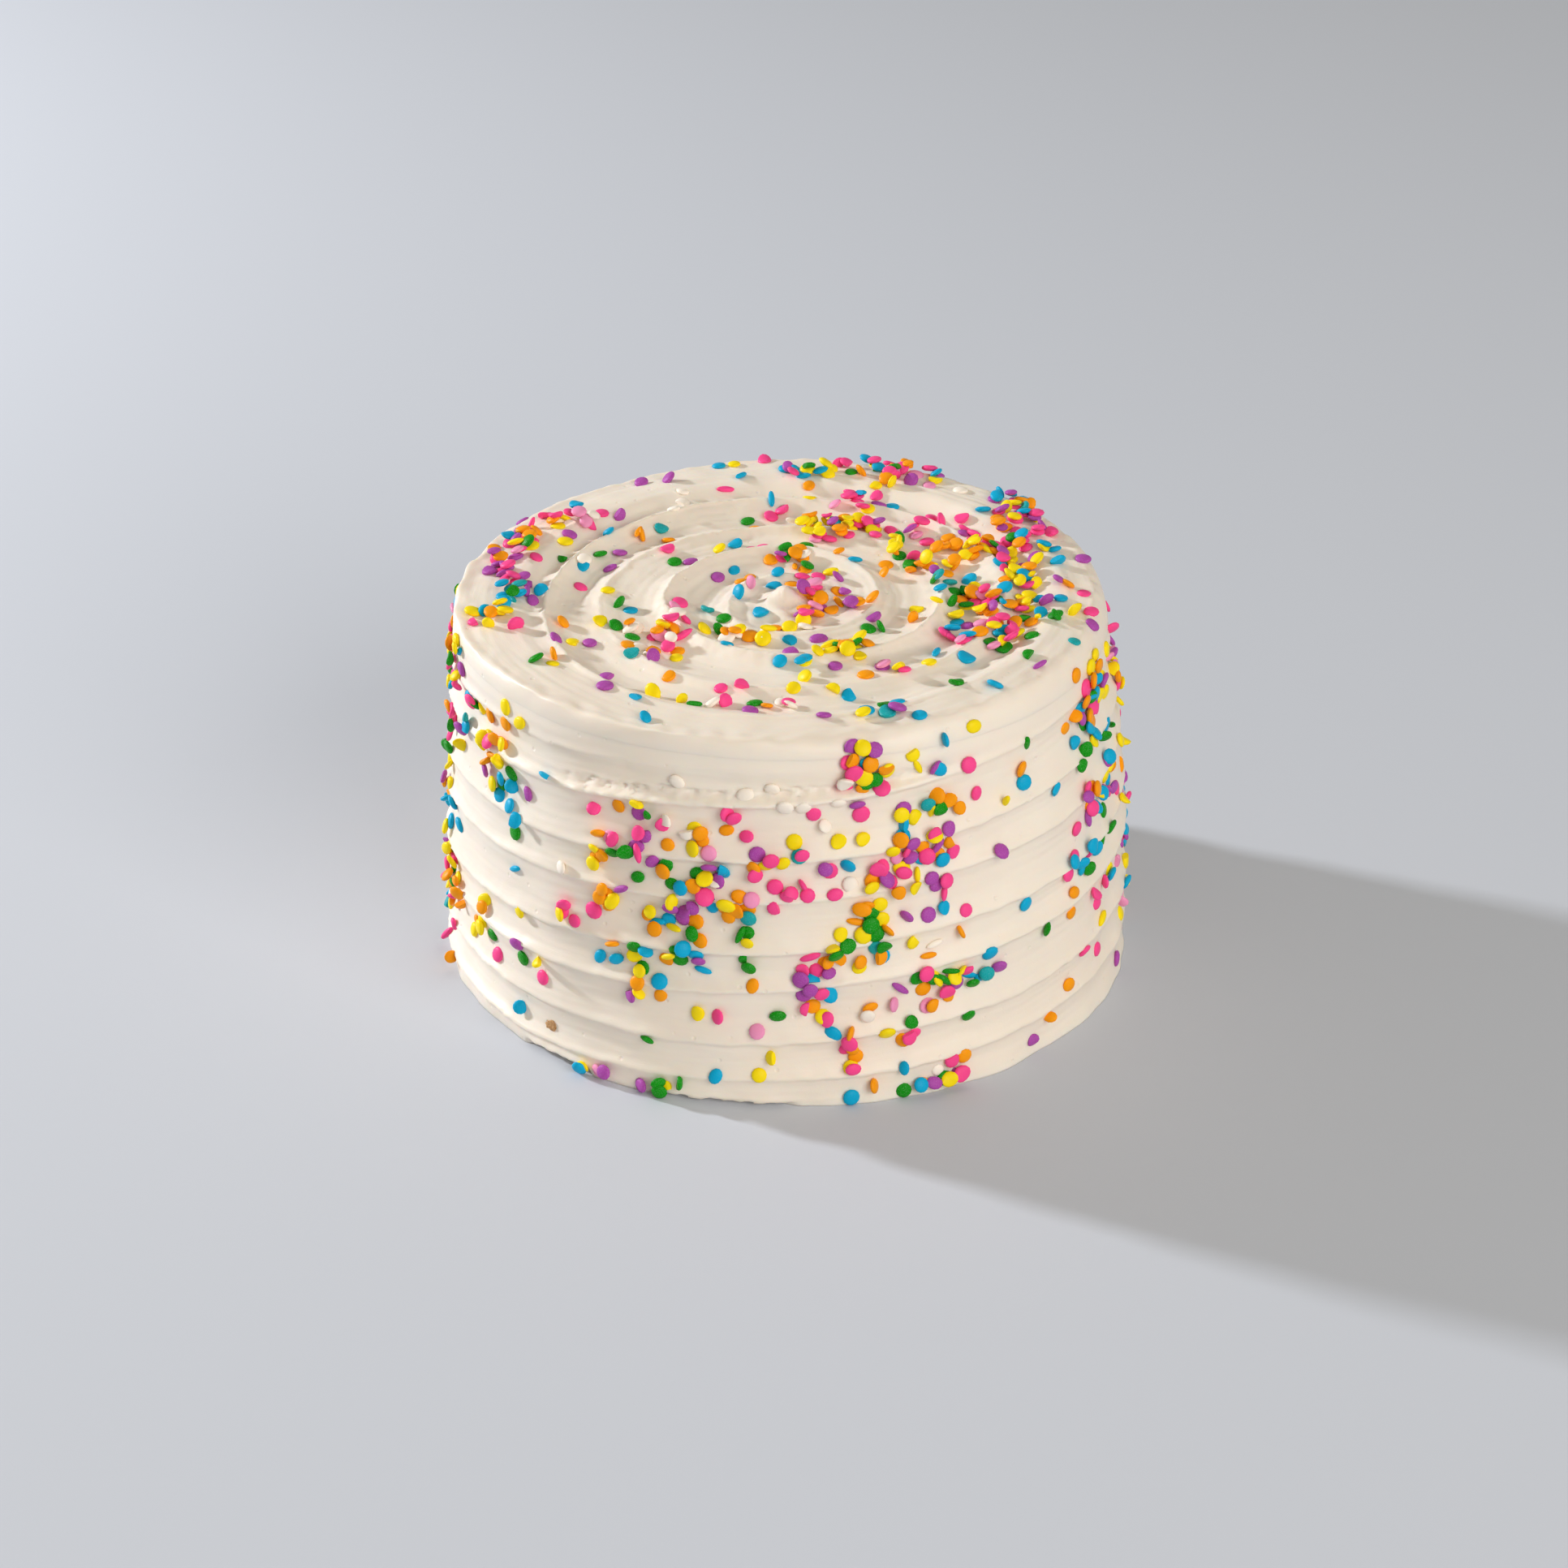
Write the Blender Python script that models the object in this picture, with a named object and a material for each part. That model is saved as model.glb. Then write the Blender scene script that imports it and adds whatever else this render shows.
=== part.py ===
"""Confetti cake: a tall frosted layer cake with a swirled top, a banded side and confetti quins.

The origin is the centre of the foot, +Z is up and -Y is the front. Azimuths are measured round the
side from the front towards +X. Lengths are in metres.
"""

import math
import random

import bmesh
import bpy
from mathutils import Matrix, Vector, geometry, noise
from mathutils.bvhtree import BVHTree

NODE_NAME = "frosted_cake"
TURN = 2.0 * math.pi

# The body: it narrows and leans a little towards the top
FOOT_RADIUS = 0.0866
FOOT_FLARE = 0.0009
FOOT_FLARE_HEIGHT = 0.0080
TAPER = 0.0058
TAPER_POWER = 2.2
TOP_HEIGHT = 0.0988
TOP_LEAN = Vector((-0.0024, -0.0010))
TOP_TILT = Vector((0.025, 0.025))
SHOULDER_HEIGHT = 0.0905
SHOULDER_WIDTH = 0.0048
RIM_DROP = 0.0010
UNEVENNESS = 0.0008
COLUMNS = 52

# Bands left by the spatula's tip: two strokes that climb round the side together
STROKE_RISE = 0.0240
STROKE_STARTS = (0.0178, 0.0318)
FIRST_EDGE = -4
LAST_EDGE = 7
BAND_DEPTH = 0.0012
BAND_DEEPEST = 0.62
BAND_UPPER_LIFT = 0.45
RIDGE_THICKNESS = 0.0009
SWAY_LOW = -0.0013
SWAY_HIGH = 0.0022
WOBBLE = 0.00045
SMOOTH_BAND = (0.0825, 0.0885)
EDGE_CLEARANCE = 0.0019

# A strip of torn icing above the highest ridge, at the front
TEAR_EDGE = 5
TEAR_HEIGHT = 0.0045
TEAR_DEPTH = 0.0011
TEAR_FROM = math.radians(-56.0)
TEAR_TO = math.radians(32.0)

# The spiral that the spatula leaves on the top
SWIRL_CENTRE = Vector((-0.0004, -0.0060))
SWIRL_START = 0.0077
SWIRL_PITCH = 0.0150
SWIRL_DEPTH = 0.0033
SWIRL_VALLEY = 0.38
SWIRL_LINES = (0.0, 0.17, 0.38, 0.70)
SWIRL_REACH = 0.0680
SWIRL_CORE = 0.0050
SWIRL_PEAK = 0.0022
SWIRL_STEP = 0.0062
SWIRL_WANDER = 0.0009
SWIRL_WORN = 0.0016
SWIRL_WORN_FROM = math.radians(225.0)
SWIRL_TURNS = 8
RING_INSETS = (0.0007, 0.0022, 0.0050, 0.0092)

# Confetti quins: round sugar discs, largest of the toppings
QUIN_RADIUS = 0.0019
QUIN_THICKNESS = 0.0013
QUIN_SIDES = 8
QUIN_SPACING = 0.0052
QUIN_SEED = 17
TOP_QUINS = 44
SIDE_QUINS = 96
UPRIGHT_SHARE = 0.15

# Where quins lie thickest on the side: azimuth in degrees, height, spread, share of the draws
SIDE_CLUSTERS = (
    (-20.0, 0.050, 0.007, 0.09),
    (-25.0, 0.065, 0.004, 0.04),
    (-24.0, 0.031, 0.004, 0.03),
    (-10.0, 0.052, 0.005, 0.04),
    (-13.0, 0.062, 0.004, 0.03),
    (12.0, 0.089, 0.004, 0.06),
    (19.0, 0.065, 0.005, 0.08),
    (12.0, 0.047, 0.005, 0.04),
    (4.6, 0.034, 0.004, 0.04),
    (25.0, 0.031, 0.005, 0.06),
    (1.0, 0.065, 0.004, 0.03),
    (56.0, 0.087, 0.005, 0.06),
    (59.0, 0.062, 0.005, 0.03),
    (70.0, 0.055, 0.009, 0.03),
    (-57.0, 0.076, 0.006, 0.04),
    (-76.0, 0.030, 0.009, 0.04),
    (-74.0, 0.087, 0.004, 0.02),
)

# Where they lie thickest on the top: place, spread, share of the draws
TOP_CLUSTERS = (
    (-0.070, 0.013, 0.006, 0.06),
    (-0.067, 0.024, 0.004, 0.03),
    (-0.070, -0.007, 0.004, 0.03),
    (-0.057, 0.036, 0.004, 0.04),
    (0.028, 0.068, 0.006, 0.09),
    (0.003, 0.064, 0.004, 0.03),
    (0.017, 0.047, 0.004, 0.03),
    (0.058, 0.045, 0.005, 0.05),
    (0.057, 0.029, 0.005, 0.05),
    (0.046, 0.021, 0.005, 0.06),
    (0.057, 0.008, 0.005, 0.06),
    (0.050, -0.012, 0.006, 0.10),
    (0.050, -0.024, 0.004, 0.05),
    (0.036, 0.005, 0.004, 0.03),
    (0.015, 0.033, 0.005, 0.07),
    (0.001, 0.018, 0.004, 0.03),
    (0.010, -0.008, 0.006, 0.06),
    (-0.028, -0.027, 0.004, 0.04),
    (0.012, -0.038, 0.004, 0.04),
)

ICING_COLOUR = (0.871, 0.808, 0.680, 1.0)
QUIN_COLOURS = {
    "pink_quin": (0.880, 0.045, 0.220, 1.0),
    "orange_quin": (0.910, 0.170, 0.012, 1.0),
    "yellow_quin": (0.900, 0.600, 0.020, 1.0),
    "blue_quin": (0.005, 0.300, 0.560, 1.0),
    "purple_quin": (0.235, 0.060, 0.310, 1.0),
    "green_quin": (0.010, 0.200, 0.030, 1.0),
}


def remove_everything() -> None:
    """Empty the scene."""
    for item in list(bpy.data.objects):
        bpy.data.objects.remove(item, do_unlink=True)


def smooth_step(low: float, high: float, value: float) -> float:
    """Ease from 0 at low to 1 at high."""
    share = min(1.0, max(0.0, (value - low) / (high - low)))
    return share * share * (3.0 - 2.0 * share)


def lean(height: float) -> Vector:
    """Say how far the cake's axis has moved at a height."""
    return TOP_LEAN * (height / TOP_HEIGHT) ** 2


def stroke_edge(azimuth: float, level: int) -> float:
    """Give the height of a ridge between two bands; even and odd levels are the two strokes."""
    angle = azimuth + TURN * (level // 2)
    height = STROKE_STARTS[level % 2] + STROKE_RISE * angle / TURN
    sway = SWAY_LOW + (SWAY_HIGH - SWAY_LOW) * smooth_step(0.015, 0.032, height)
    wobble = math.sin(2.3 * angle + 1.7 * (level % 2)) + 0.6 * math.sin(5.7 * angle + 0.4)
    return height + sway * math.sin(azimuth) + WOBBLE * wobble


def band_depth(azimuth: float, height: float) -> float:
    """Give the depth of the band that a point on the side lies in."""
    lower = stroke_edge(azimuth, FIRST_EDGE)
    for level in range(FIRST_EDGE + 1, LAST_EDGE + 1):
        upper = stroke_edge(azimuth, level)
        if height < upper:
            break
        lower = upper
    share = (height - lower) / (upper - lower)
    if share < BAND_DEEPEST:
        profile = 1.0 - (1.0 - share / BAND_DEEPEST) ** 2
    else:
        profile = 1.0 - BAND_UPPER_LIFT * ((share - BAND_DEEPEST) / (1.0 - BAND_DEEPEST)) ** 2
    ridge = smooth_step(0.0, 0.8 * RIDGE_THICKNESS, upper - height)
    return BAND_DEPTH * profile * ridge * (1.0 - smooth_step(*SMOOTH_BAND, height))


def tear_rise(azimuth: float, height: float) -> float:
    """Give how far the torn strip above the highest ridge stands out."""
    above = height - stroke_edge(azimuth, TEAR_EDGE)
    across = smooth_step(0.0, 0.0015, above) * (1.0 - smooth_step(0.0035, TEAR_HEIGHT, above))
    along = smooth_step(TEAR_FROM, TEAR_FROM + 0.2, azimuth)
    along *= 1.0 - smooth_step(TEAR_TO - 0.2, TEAR_TO, azimuth)
    ragged = 0.5 + noise.noise(Vector((azimuth * 9.0, height * 600.0, 3.0)))
    return TEAR_DEPTH * across * along * ragged


def side_point(azimuth: float, height: float) -> Vector:
    """Place a point of the side."""
    radius = FOOT_RADIUS - TAPER * (max(height, 0.0) / SHOULDER_HEIGHT) ** TAPER_POWER
    around = Vector((2.2 * math.sin(azimuth), 2.2 * math.cos(azimuth), 14.0 * height))
    radius += UNEVENNESS * noise.noise(around)
    radius += FOOT_FLARE * (1.0 - smooth_step(0.0, FOOT_FLARE_HEIGHT, height))
    radius += tear_rise(azimuth, height) - band_depth(azimuth, height)
    centre = lean(height)
    x = centre.x + radius * math.sin(azimuth)
    y = centre.y - radius * math.cos(azimuth)
    return Vector((x, y, height))


def swirl_crest(angle: float) -> float:
    """Give the distance of the spiral's crest from its centre after turning by an angle."""
    wander = math.sin(1.7 * angle) + 0.5 * math.sin(3.3 * angle + 1.0)
    return SWIRL_START + SWIRL_PITCH * angle / TURN + SWIRL_WANDER * wander


def swirl_depth(place: Vector) -> float:
    """Give the depth of the spiral groove at a place on the top; every second crest is worn low."""
    offset = place - SWIRL_CENTRE
    reach = offset.length
    angle = math.atan2(offset.y, offset.x)
    phase = 0.5 * (angle - TURN - SWIRL_WORN_FROM)
    inner = swirl_crest(angle - TURN)
    for turn in range(SWIRL_TURNS):
        outer = swirl_crest(angle + TURN * turn)
        if reach < outer:
            break
        inner = outer
        phase += 0.5 * TURN
    share = min(1.0, max(0.0, (reach - inner) / (outer - inner)))
    if share < SWIRL_VALLEY:
        share = 0.5 * share / SWIRL_VALLEY
    else:
        share = 0.5 + 0.5 * (share - SWIRL_VALLEY) / (1.0 - SWIRL_VALLEY)
    strength = 1.0 + 0.45 * noise.noise(Vector((place.x * 35.0, place.y * 35.0, 9.0)))
    worn = 0.5 * SWIRL_WORN * (1.0 + math.cos(phase) * (1.0 - 2.0 * smooth_step(0.0, 1.0, share)))
    groove = worn + (SWIRL_DEPTH * strength - worn) * math.sin(math.pi * share) ** 0.85
    groove *= 1.0 - 0.9 * smooth_step(SWIRL_REACH - 0.010, SWIRL_REACH, reach)
    core = smooth_step(SWIRL_CORE, 2.4 * SWIRL_CORE, reach)
    peak = SWIRL_PEAK * (1.0 - smooth_step(0.0, SWIRL_CORE, reach))
    return groove * core + 0.5 * SWIRL_DEPTH * (1.0 - core) - peak


def top_point(place: Vector) -> Vector:
    """Place a point of the top or the shoulder, which meets the side at the shoulder's height."""
    offset = place - lean(SHOULDER_HEIGHT)
    azimuth = math.atan2(offset.x, -offset.y)
    rim = (side_point(azimuth, SHOULDER_HEIGHT).to_2d() - lean(SHOULDER_HEIGHT)).length
    inset = rim - offset.length
    swell = noise.noise(Vector((place.x * 30.0, place.y * 30.0, 5.0)))
    level = TOP_HEIGHT - RIM_DROP * (1.0 - smooth_step(0.004, 0.018, inset)) + UNEVENNESS * swell
    level += TOP_TILT.dot(place) - swirl_depth(place)
    share = min(1.0, max(0.0, inset / SHOULDER_WIDTH))
    arc = math.sqrt(1.0 - (1.0 - share) ** 2)
    return Vector((place.x, place.y, SHOULDER_HEIGHT + (level - SHOULDER_HEIGHT) * arc))


def column_azimuth(column: int) -> float:
    """Give the azimuth of a column of the side's pattern, which starts at the back."""
    return -math.pi + TURN * column / COLUMNS


def side_pattern() -> tuple[list[Vector], list[tuple[int, int]]]:
    """Lay out the side unrolled: points along the ridges and hollows, and the ridges as edges."""
    points = []
    edges = []
    for height in (0.0, SHOULDER_HEIGHT):
        for column in range(COLUMNS + 1):
            points.append(Vector((FOOT_RADIUS * column_azimuth(column), height)))
    for level in range(FIRST_EDGE, LAST_EDGE):
        for share in (0.0, 0.30, BAND_DEEPEST, 1.0):
            previous = None
            for column in range(COLUMNS + 1):
                azimuth = column_azimuth(column)
                lower = stroke_edge(azimuth, level)
                upper = stroke_edge(azimuth, level + 1)
                height = lower + share * (upper - lower)
                if share == 1.0:
                    height -= RIDGE_THICKNESS
                if not EDGE_CLEARANCE < height < SHOULDER_HEIGHT - EDGE_CLEARANCE:
                    previous = None
                    continue
                points.append(Vector((FOOT_RADIUS * azimuth, height)))
                if share == 0.0 and previous is not None:
                    edges.append((previous, len(points) - 1))
                previous = len(points) - 1
    return points, edges


def top_pattern() -> tuple[list[Vector], list[tuple[int, int]]]:
    """Lay out the top in plan: rings at the shoulder, then points along the spiral's lines."""
    centre = lean(SHOULDER_HEIGHT)
    rim = [side_point(column_azimuth(column), SHOULDER_HEIGHT).to_2d() for column in range(COLUMNS)]
    points = list(rim)
    edges = [(column, (column + 1) % COLUMNS) for column in range(COLUMNS)]
    for inset in RING_INSETS:
        for place in rim:
            offset = place - centre
            points.append(centre + offset * (1.0 - inset / offset.length))
    inner = RING_INSETS[-1] + SWIRL_STEP * 0.55
    for share in SWIRL_LINES:
        angle = 0.0
        previous = None
        while True:
            reach = swirl_crest(angle) + share * (swirl_crest(angle + TURN) - swirl_crest(angle))
            if reach > SWIRL_REACH + 0.010:
                break
            place = SWIRL_CENTRE + reach * Vector((math.cos(angle), math.sin(angle)))
            offset = place - centre
            if FOOT_RADIUS - TAPER - offset.length > inner:
                points.append(place)
                if share == 0.0 and previous is not None:
                    edges.append((previous, len(points) - 1))
                previous = len(points) - 1
            else:
                previous = None
            angle += SWIRL_STEP / reach
    for step in range(5):
        angle = TURN * step / 5
        points.append(SWIRL_CENTRE + 0.55 * SWIRL_CORE * Vector((math.cos(angle), math.sin(angle))))
    points.append(SWIRL_CENTRE.copy())
    return points, edges


def lift_pattern(body: bmesh.types.BMesh, pattern, place_point) -> None:
    """Join a flat pattern's points into triangles and add them where place_point puts them."""
    points, edges = pattern
    flat, _, triangles, _, _, _ = geometry.delaunay_2d_cdt(points, edges, [], 0, 1e-7, True)
    corners = [body.verts.new(place_point(place)) for place in flat]
    for triangle in triangles:
        body.faces.new([corners[corner] for corner in triangle])


def build_body() -> bmesh.types.BMesh:
    """Make the closed body of cake and icing, flat underneath."""
    body = bmesh.new()
    lift_pattern(body, side_pattern(), lambda place: side_point(place.x / FOOT_RADIUS, place.y))
    lift_pattern(body, top_pattern(), top_point)
    bmesh.ops.remove_doubles(body, verts=body.verts, dist=2e-5)
    rim = [edge for edge in body.edges if edge.is_boundary]
    foot = bmesh.ops.contextual_create(body, geom=rim)["faces"]
    centre = bmesh.ops.poke(body, faces=foot)["verts"][0]
    centre.co = (0.0, 0.0, 0.0)
    bmesh.ops.triangulate(body, faces=body.faces)
    bmesh.ops.recalc_face_normals(body, faces=body.faces)
    return body


def make_material(name: str, colour: tuple, roughness: float) -> bpy.types.Material:
    """Make a plain Principled material."""
    material = bpy.data.materials.new(name)
    material.use_nodes = True
    surface = material.node_tree.nodes["Principled BSDF"]
    surface.inputs["Base Color"].default_value = colour
    surface.inputs["Roughness"].default_value = roughness
    material.diffuse_color = colour
    return material


def make_object(name: str, shape: bmesh.types.BMesh, collection, material) -> bpy.types.Object:
    """Turn a bmesh into an object of a collection."""
    mesh = bpy.data.meshes.new(name)
    shape.to_mesh(mesh)
    shape.free()
    mesh.materials.append(material)
    item = bpy.data.objects.new(name, mesh)
    collection.objects.link(item)
    return item


def side_draws(chance: random.Random):
    """Draw rays at the side for ever, some at a cluster and the others anywhere."""
    while True:
        azimuth = chance.uniform(-math.pi, math.pi)
        height = chance.uniform(0.004, SHOULDER_HEIGHT)
        pick = chance.random()
        for degrees, middle, spread, share in SIDE_CLUSTERS:
            if 0.0 <= pick < share:
                azimuth = math.radians(degrees) + chance.gauss(0.0, spread) / FOOT_RADIUS
                height = chance.gauss(middle, spread)
            pick -= share
        if 0.0035 < height < SHOULDER_HEIGHT:
            outward = Vector((math.sin(azimuth), -math.cos(azimuth), 0.0))
            yield 2.0 * FOOT_RADIUS * outward + Vector((0.0, 0.0, height)), -outward


def top_draws(chance: random.Random):
    """Draw rays at the top for ever, some at a cluster and the others anywhere."""
    reach = FOOT_RADIUS - TAPER - 0.5 * SHOULDER_WIDTH
    while True:
        angle = chance.uniform(0.0, TURN)
        place = reach * math.sqrt(chance.random()) * Vector((math.cos(angle), math.sin(angle)))
        pick = chance.random()
        for x, y, spread, share in TOP_CLUSTERS:
            if 0.0 <= pick < share:
                place = Vector((chance.gauss(x, spread), chance.gauss(y, spread)))
            pick -= share
        if place.length < reach:
            yield (place + TOP_LEAN).to_3d() + Vector((0.0, 0.0, 2.0 * TOP_HEIGHT)), Vector((0, 0, -1))


def quin_placement(chance: random.Random, spot: Vector, normal: Vector) -> Matrix:
    """Seat a disc in the icing, most of them nearly flat and some standing up."""
    upright = chance.random() < UPRIGHT_SHARE
    tilt = chance.uniform(0.9, 1.3) if upright else chance.uniform(0.05, 0.5)
    lift = 0.35 * QUIN_RADIUS if upright else 0.15 * QUIN_THICKNESS
    facing = normal.to_track_quat("Z", "Y").to_matrix().to_4x4()
    turned = Matrix.Rotation(chance.uniform(0.0, TURN), 4, "Z") @ Matrix.Rotation(tilt, 4, "X")
    return Matrix.Translation(spot + lift * normal) @ facing @ turned


def scatter_quins(body: bmesh.types.BMesh, collection, materials: list) -> None:
    """Add the quins as discs that reach into the icing, none of them touching another."""
    surface = BVHTree.FromBMesh(body)
    chance = random.Random(QUIN_SEED)
    spots = []
    for draws, count in ((top_draws(chance), TOP_QUINS), (side_draws(chance), SIDE_QUINS)):
        wanted = len(spots) + count
        for origin, direction in draws:
            if len(spots) == wanted:
                break
            spot, normal, _, _ = surface.ray_cast(origin, direction)
            if spot is None or any((spot - other).length < QUIN_SPACING for other in spots):
                continue
            spots.append(spot)
            disc = bmesh.new()
            bmesh.ops.create_cone(
                disc,
                cap_ends=True,
                segments=QUIN_SIDES,
                radius1=QUIN_RADIUS,
                radius2=QUIN_RADIUS,
                depth=QUIN_THICKNESS,
                matrix=quin_placement(chance, spot, normal),
            )
            make_object(f"quin_{len(spots):03d}", disc, collection, chance.choice(materials))


def join_quins(cake: bpy.types.Object, collection) -> None:
    """Fuse the quins to the icing with one union, then remove their own objects."""
    union = cake.modifiers.new("quins", "BOOLEAN")
    union.operation = "UNION"
    union.operand_type = "COLLECTION"
    union.collection = collection
    union.solver = "EXACT"
    union.material_mode = "TRANSFER"
    bpy.context.view_layer.objects.active = cake
    bpy.ops.object.modifier_apply(modifier=union.name)
    for item in list(collection.objects):
        bpy.data.objects.remove(item, do_unlink=True)
    bpy.data.collections.remove(collection)


def build_cake() -> None:
    """Build the frosted cake as one solid."""
    scene = bpy.context.scene.collection
    toppings = bpy.data.collections.new("quins")
    scene.children.link(toppings)
    icing = make_material("buttercream", ICING_COLOUR, 0.45)
    sugars = [make_material(name, colour, 0.35) for name, colour in QUIN_COLOURS.items()]
    body = build_body()
    scatter_quins(body, toppings, sugars)
    cake = make_object(NODE_NAME, body, scene, icing)
    join_quins(cake, toppings)
    cake.data.shade_smooth()
    cake.data.set_sharp_from_angle(angle=math.radians(35.0))


remove_everything()
build_cake()
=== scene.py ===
"""Confetti cake: a tall layer cake in ivory buttercream, swirled on top and set with sugar confetti.

Lengths are in metres, +Z is up and -Y is the front. Azimuths run round the side from the front
towards +X.
"""

import logging
import math
import random
from collections.abc import Iterator
from dataclasses import dataclass, field
from enum import Enum

import bmesh
import bpy
import numpy as np
from mathutils import Matrix, Vector, noise
from mathutils.bvhtree import BVHTree


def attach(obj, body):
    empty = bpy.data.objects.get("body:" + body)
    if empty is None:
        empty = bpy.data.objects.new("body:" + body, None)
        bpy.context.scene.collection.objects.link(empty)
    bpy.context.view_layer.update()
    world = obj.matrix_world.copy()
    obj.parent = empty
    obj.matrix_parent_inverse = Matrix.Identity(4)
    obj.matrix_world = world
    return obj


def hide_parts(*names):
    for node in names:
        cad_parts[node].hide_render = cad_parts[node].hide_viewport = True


TURN = 2.0 * math.pi
MM = 0.001
BODY = "root"
CAKE_NODE = "frosted_cake"
ICING_SLOT = "icing"
CRUMB_SLOT = "sponge_crumb"

# How near two points count as one.
JOINT = 1e-6

log = logging.getLogger("confetti_cake")


def linear(code: str) -> tuple[float, float, float, float]:
    """Turn an sRGB hex colour to linear RGBA.

    Args:
        code: Six hex digits after a hash mark.

    Returns:
        The linear colour with an alpha of 1.
    """
    parts = [int(code[place : place + 2], 16) / 255.0 for place in (1, 3, 5)]
    red, green, blue = (p / 12.92 if p <= 0.04045 else ((p + 0.055) / 1.055) ** 2.4 for p in parts)
    return red, green, blue, 1.0


def smooth_step(low: float, high: float, value: np.ndarray) -> np.ndarray:
    """Ease each value from 0 at low to 1 at high."""
    share = np.clip((value - low) / (high - low), 0.0, 1.0)
    return share * share * (3.0 - 2.0 * share)


def stretch(start: float, end: float, fade: float, value: np.ndarray) -> np.ndarray:
    """Ease each value from 0 to 1 after a start, and back to 0 before an end, both over a fade."""
    return smooth_step(start, start + fade, value) * (1.0 - smooth_step(end - fade, end, value))


def swell(middle: np.ndarray | float, width: float, value: np.ndarray) -> np.ndarray:
    """Give a rounded ridge that is 1 high at its middle and fades over a width."""
    return np.exp(-(((value - middle) / width) ** 2))


def between(edges: np.ndarray, value: np.ndarray) -> tuple[np.ndarray, ...]:
    """Find between which edges values lie.

    Args:
        edges: The edges, lowest first, each with a number for every value.
        value: The values.

    Returns:
        For each value, the number of the edge above it, the edges below and above, and how far the
        value is from one to the other, from 0 to 1.
    """
    index = np.clip((edges <= value).sum(axis=0), 1, len(edges) - 1)
    here = np.arange(len(value))
    lower = edges[index - 1, here]
    upper = edges[index, here]
    return index, lower, upper, np.clip((value - lower) / (upper - lower), 0.0, 1.0)


def noise_at(*coordinates: np.ndarray | float) -> np.ndarray:
    """Read Perlin noise, from about -1 to 1, at many points, over which single numbers are spread."""
    points = np.stack(np.broadcast_arrays(*coordinates), axis=-1).reshape(-1, 3)
    return np.fromiter((noise.noise(point) for point in points.tolist()), float, len(points))


def add_node(
    tree: bpy.types.NodeTree,
    kind: str,
    settings: dict[str | int, object] | None = None,
    links: dict[str | int, bpy.types.NodeSocket] | None = None,
) -> bpy.types.Node:
    """Add a shader node.

    Args:
        tree: The material's node tree.
        kind: Blender's name for the kind of node.
        settings: Values by the name of a property, or by the name or number of an input.
        links: Sockets by the name or number of the input that each one feeds.

    Returns:
        The new node.
    """
    node = tree.nodes.new(kind)
    for name, value in (settings or {}).items():
        if isinstance(name, str) and hasattr(node, name):
            setattr(node, name, value)
        else:
            node.inputs[name].default_value = value
    for name, socket in (links or {}).items():
        tree.links.new(socket, node.inputs[name])
    return node


def blank_material(name: str) -> tuple[bpy.types.Material, bpy.types.NodeTree]:
    """Make a material whose tree holds nothing yet.

    Args:
        name: The material's name.

    Returns:
        The material and its tree.
    """
    material = bpy.data.materials.new(name)
    material.use_nodes = True
    material.node_tree.nodes.clear()
    return material, material.node_tree


def mesh_of(shape: bmesh.types.BMesh, name: str) -> bpy.types.Mesh:
    """Turn a finished shape to a mesh and free it.

    Args:
        shape: The shape, which is gone afterwards.
        name: The mesh's name.

    Returns:
        The mesh.
    """
    mesh = bpy.data.meshes.new(name)
    shape.to_mesh(mesh)
    shape.free()
    return mesh


def facing(normal: Vector) -> Matrix:
    """Turn a shape that lies flat on XY so that it faces along a direction."""
    return normal.to_track_quat("Z", "Y").to_matrix().to_4x4()


def show(name: str, data: bpy.types.ID) -> bpy.types.Object:
    """Put an object into the scene.

    Args:
        name: Its name.
        data: Its mesh, light or lens.

    Returns:
        The object.
    """
    shown = bpy.data.objects.new(name, data)
    bpy.context.scene.collection.objects.link(shown)
    return shown


def make_piece(
    name: str, mesh: bpy.types.Mesh, material: bpy.types.Material, slot: str
) -> bpy.types.Object:
    """Show a mesh as a piece that rides on the cake and stands for its solid.

    Args:
        name: The piece's name.
        mesh: Its mesh, in place.
        material: Its finish.
        slot: The record's name for what it is made of; not used.

    Returns:
        The piece.
    """
    mesh.materials.append(material)
    piece = show(name, mesh)
    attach(piece, BODY)
    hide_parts(CAKE_NODE)
    log.info("%s: %d faces", name, len(mesh.polygons))
    return piece


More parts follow.
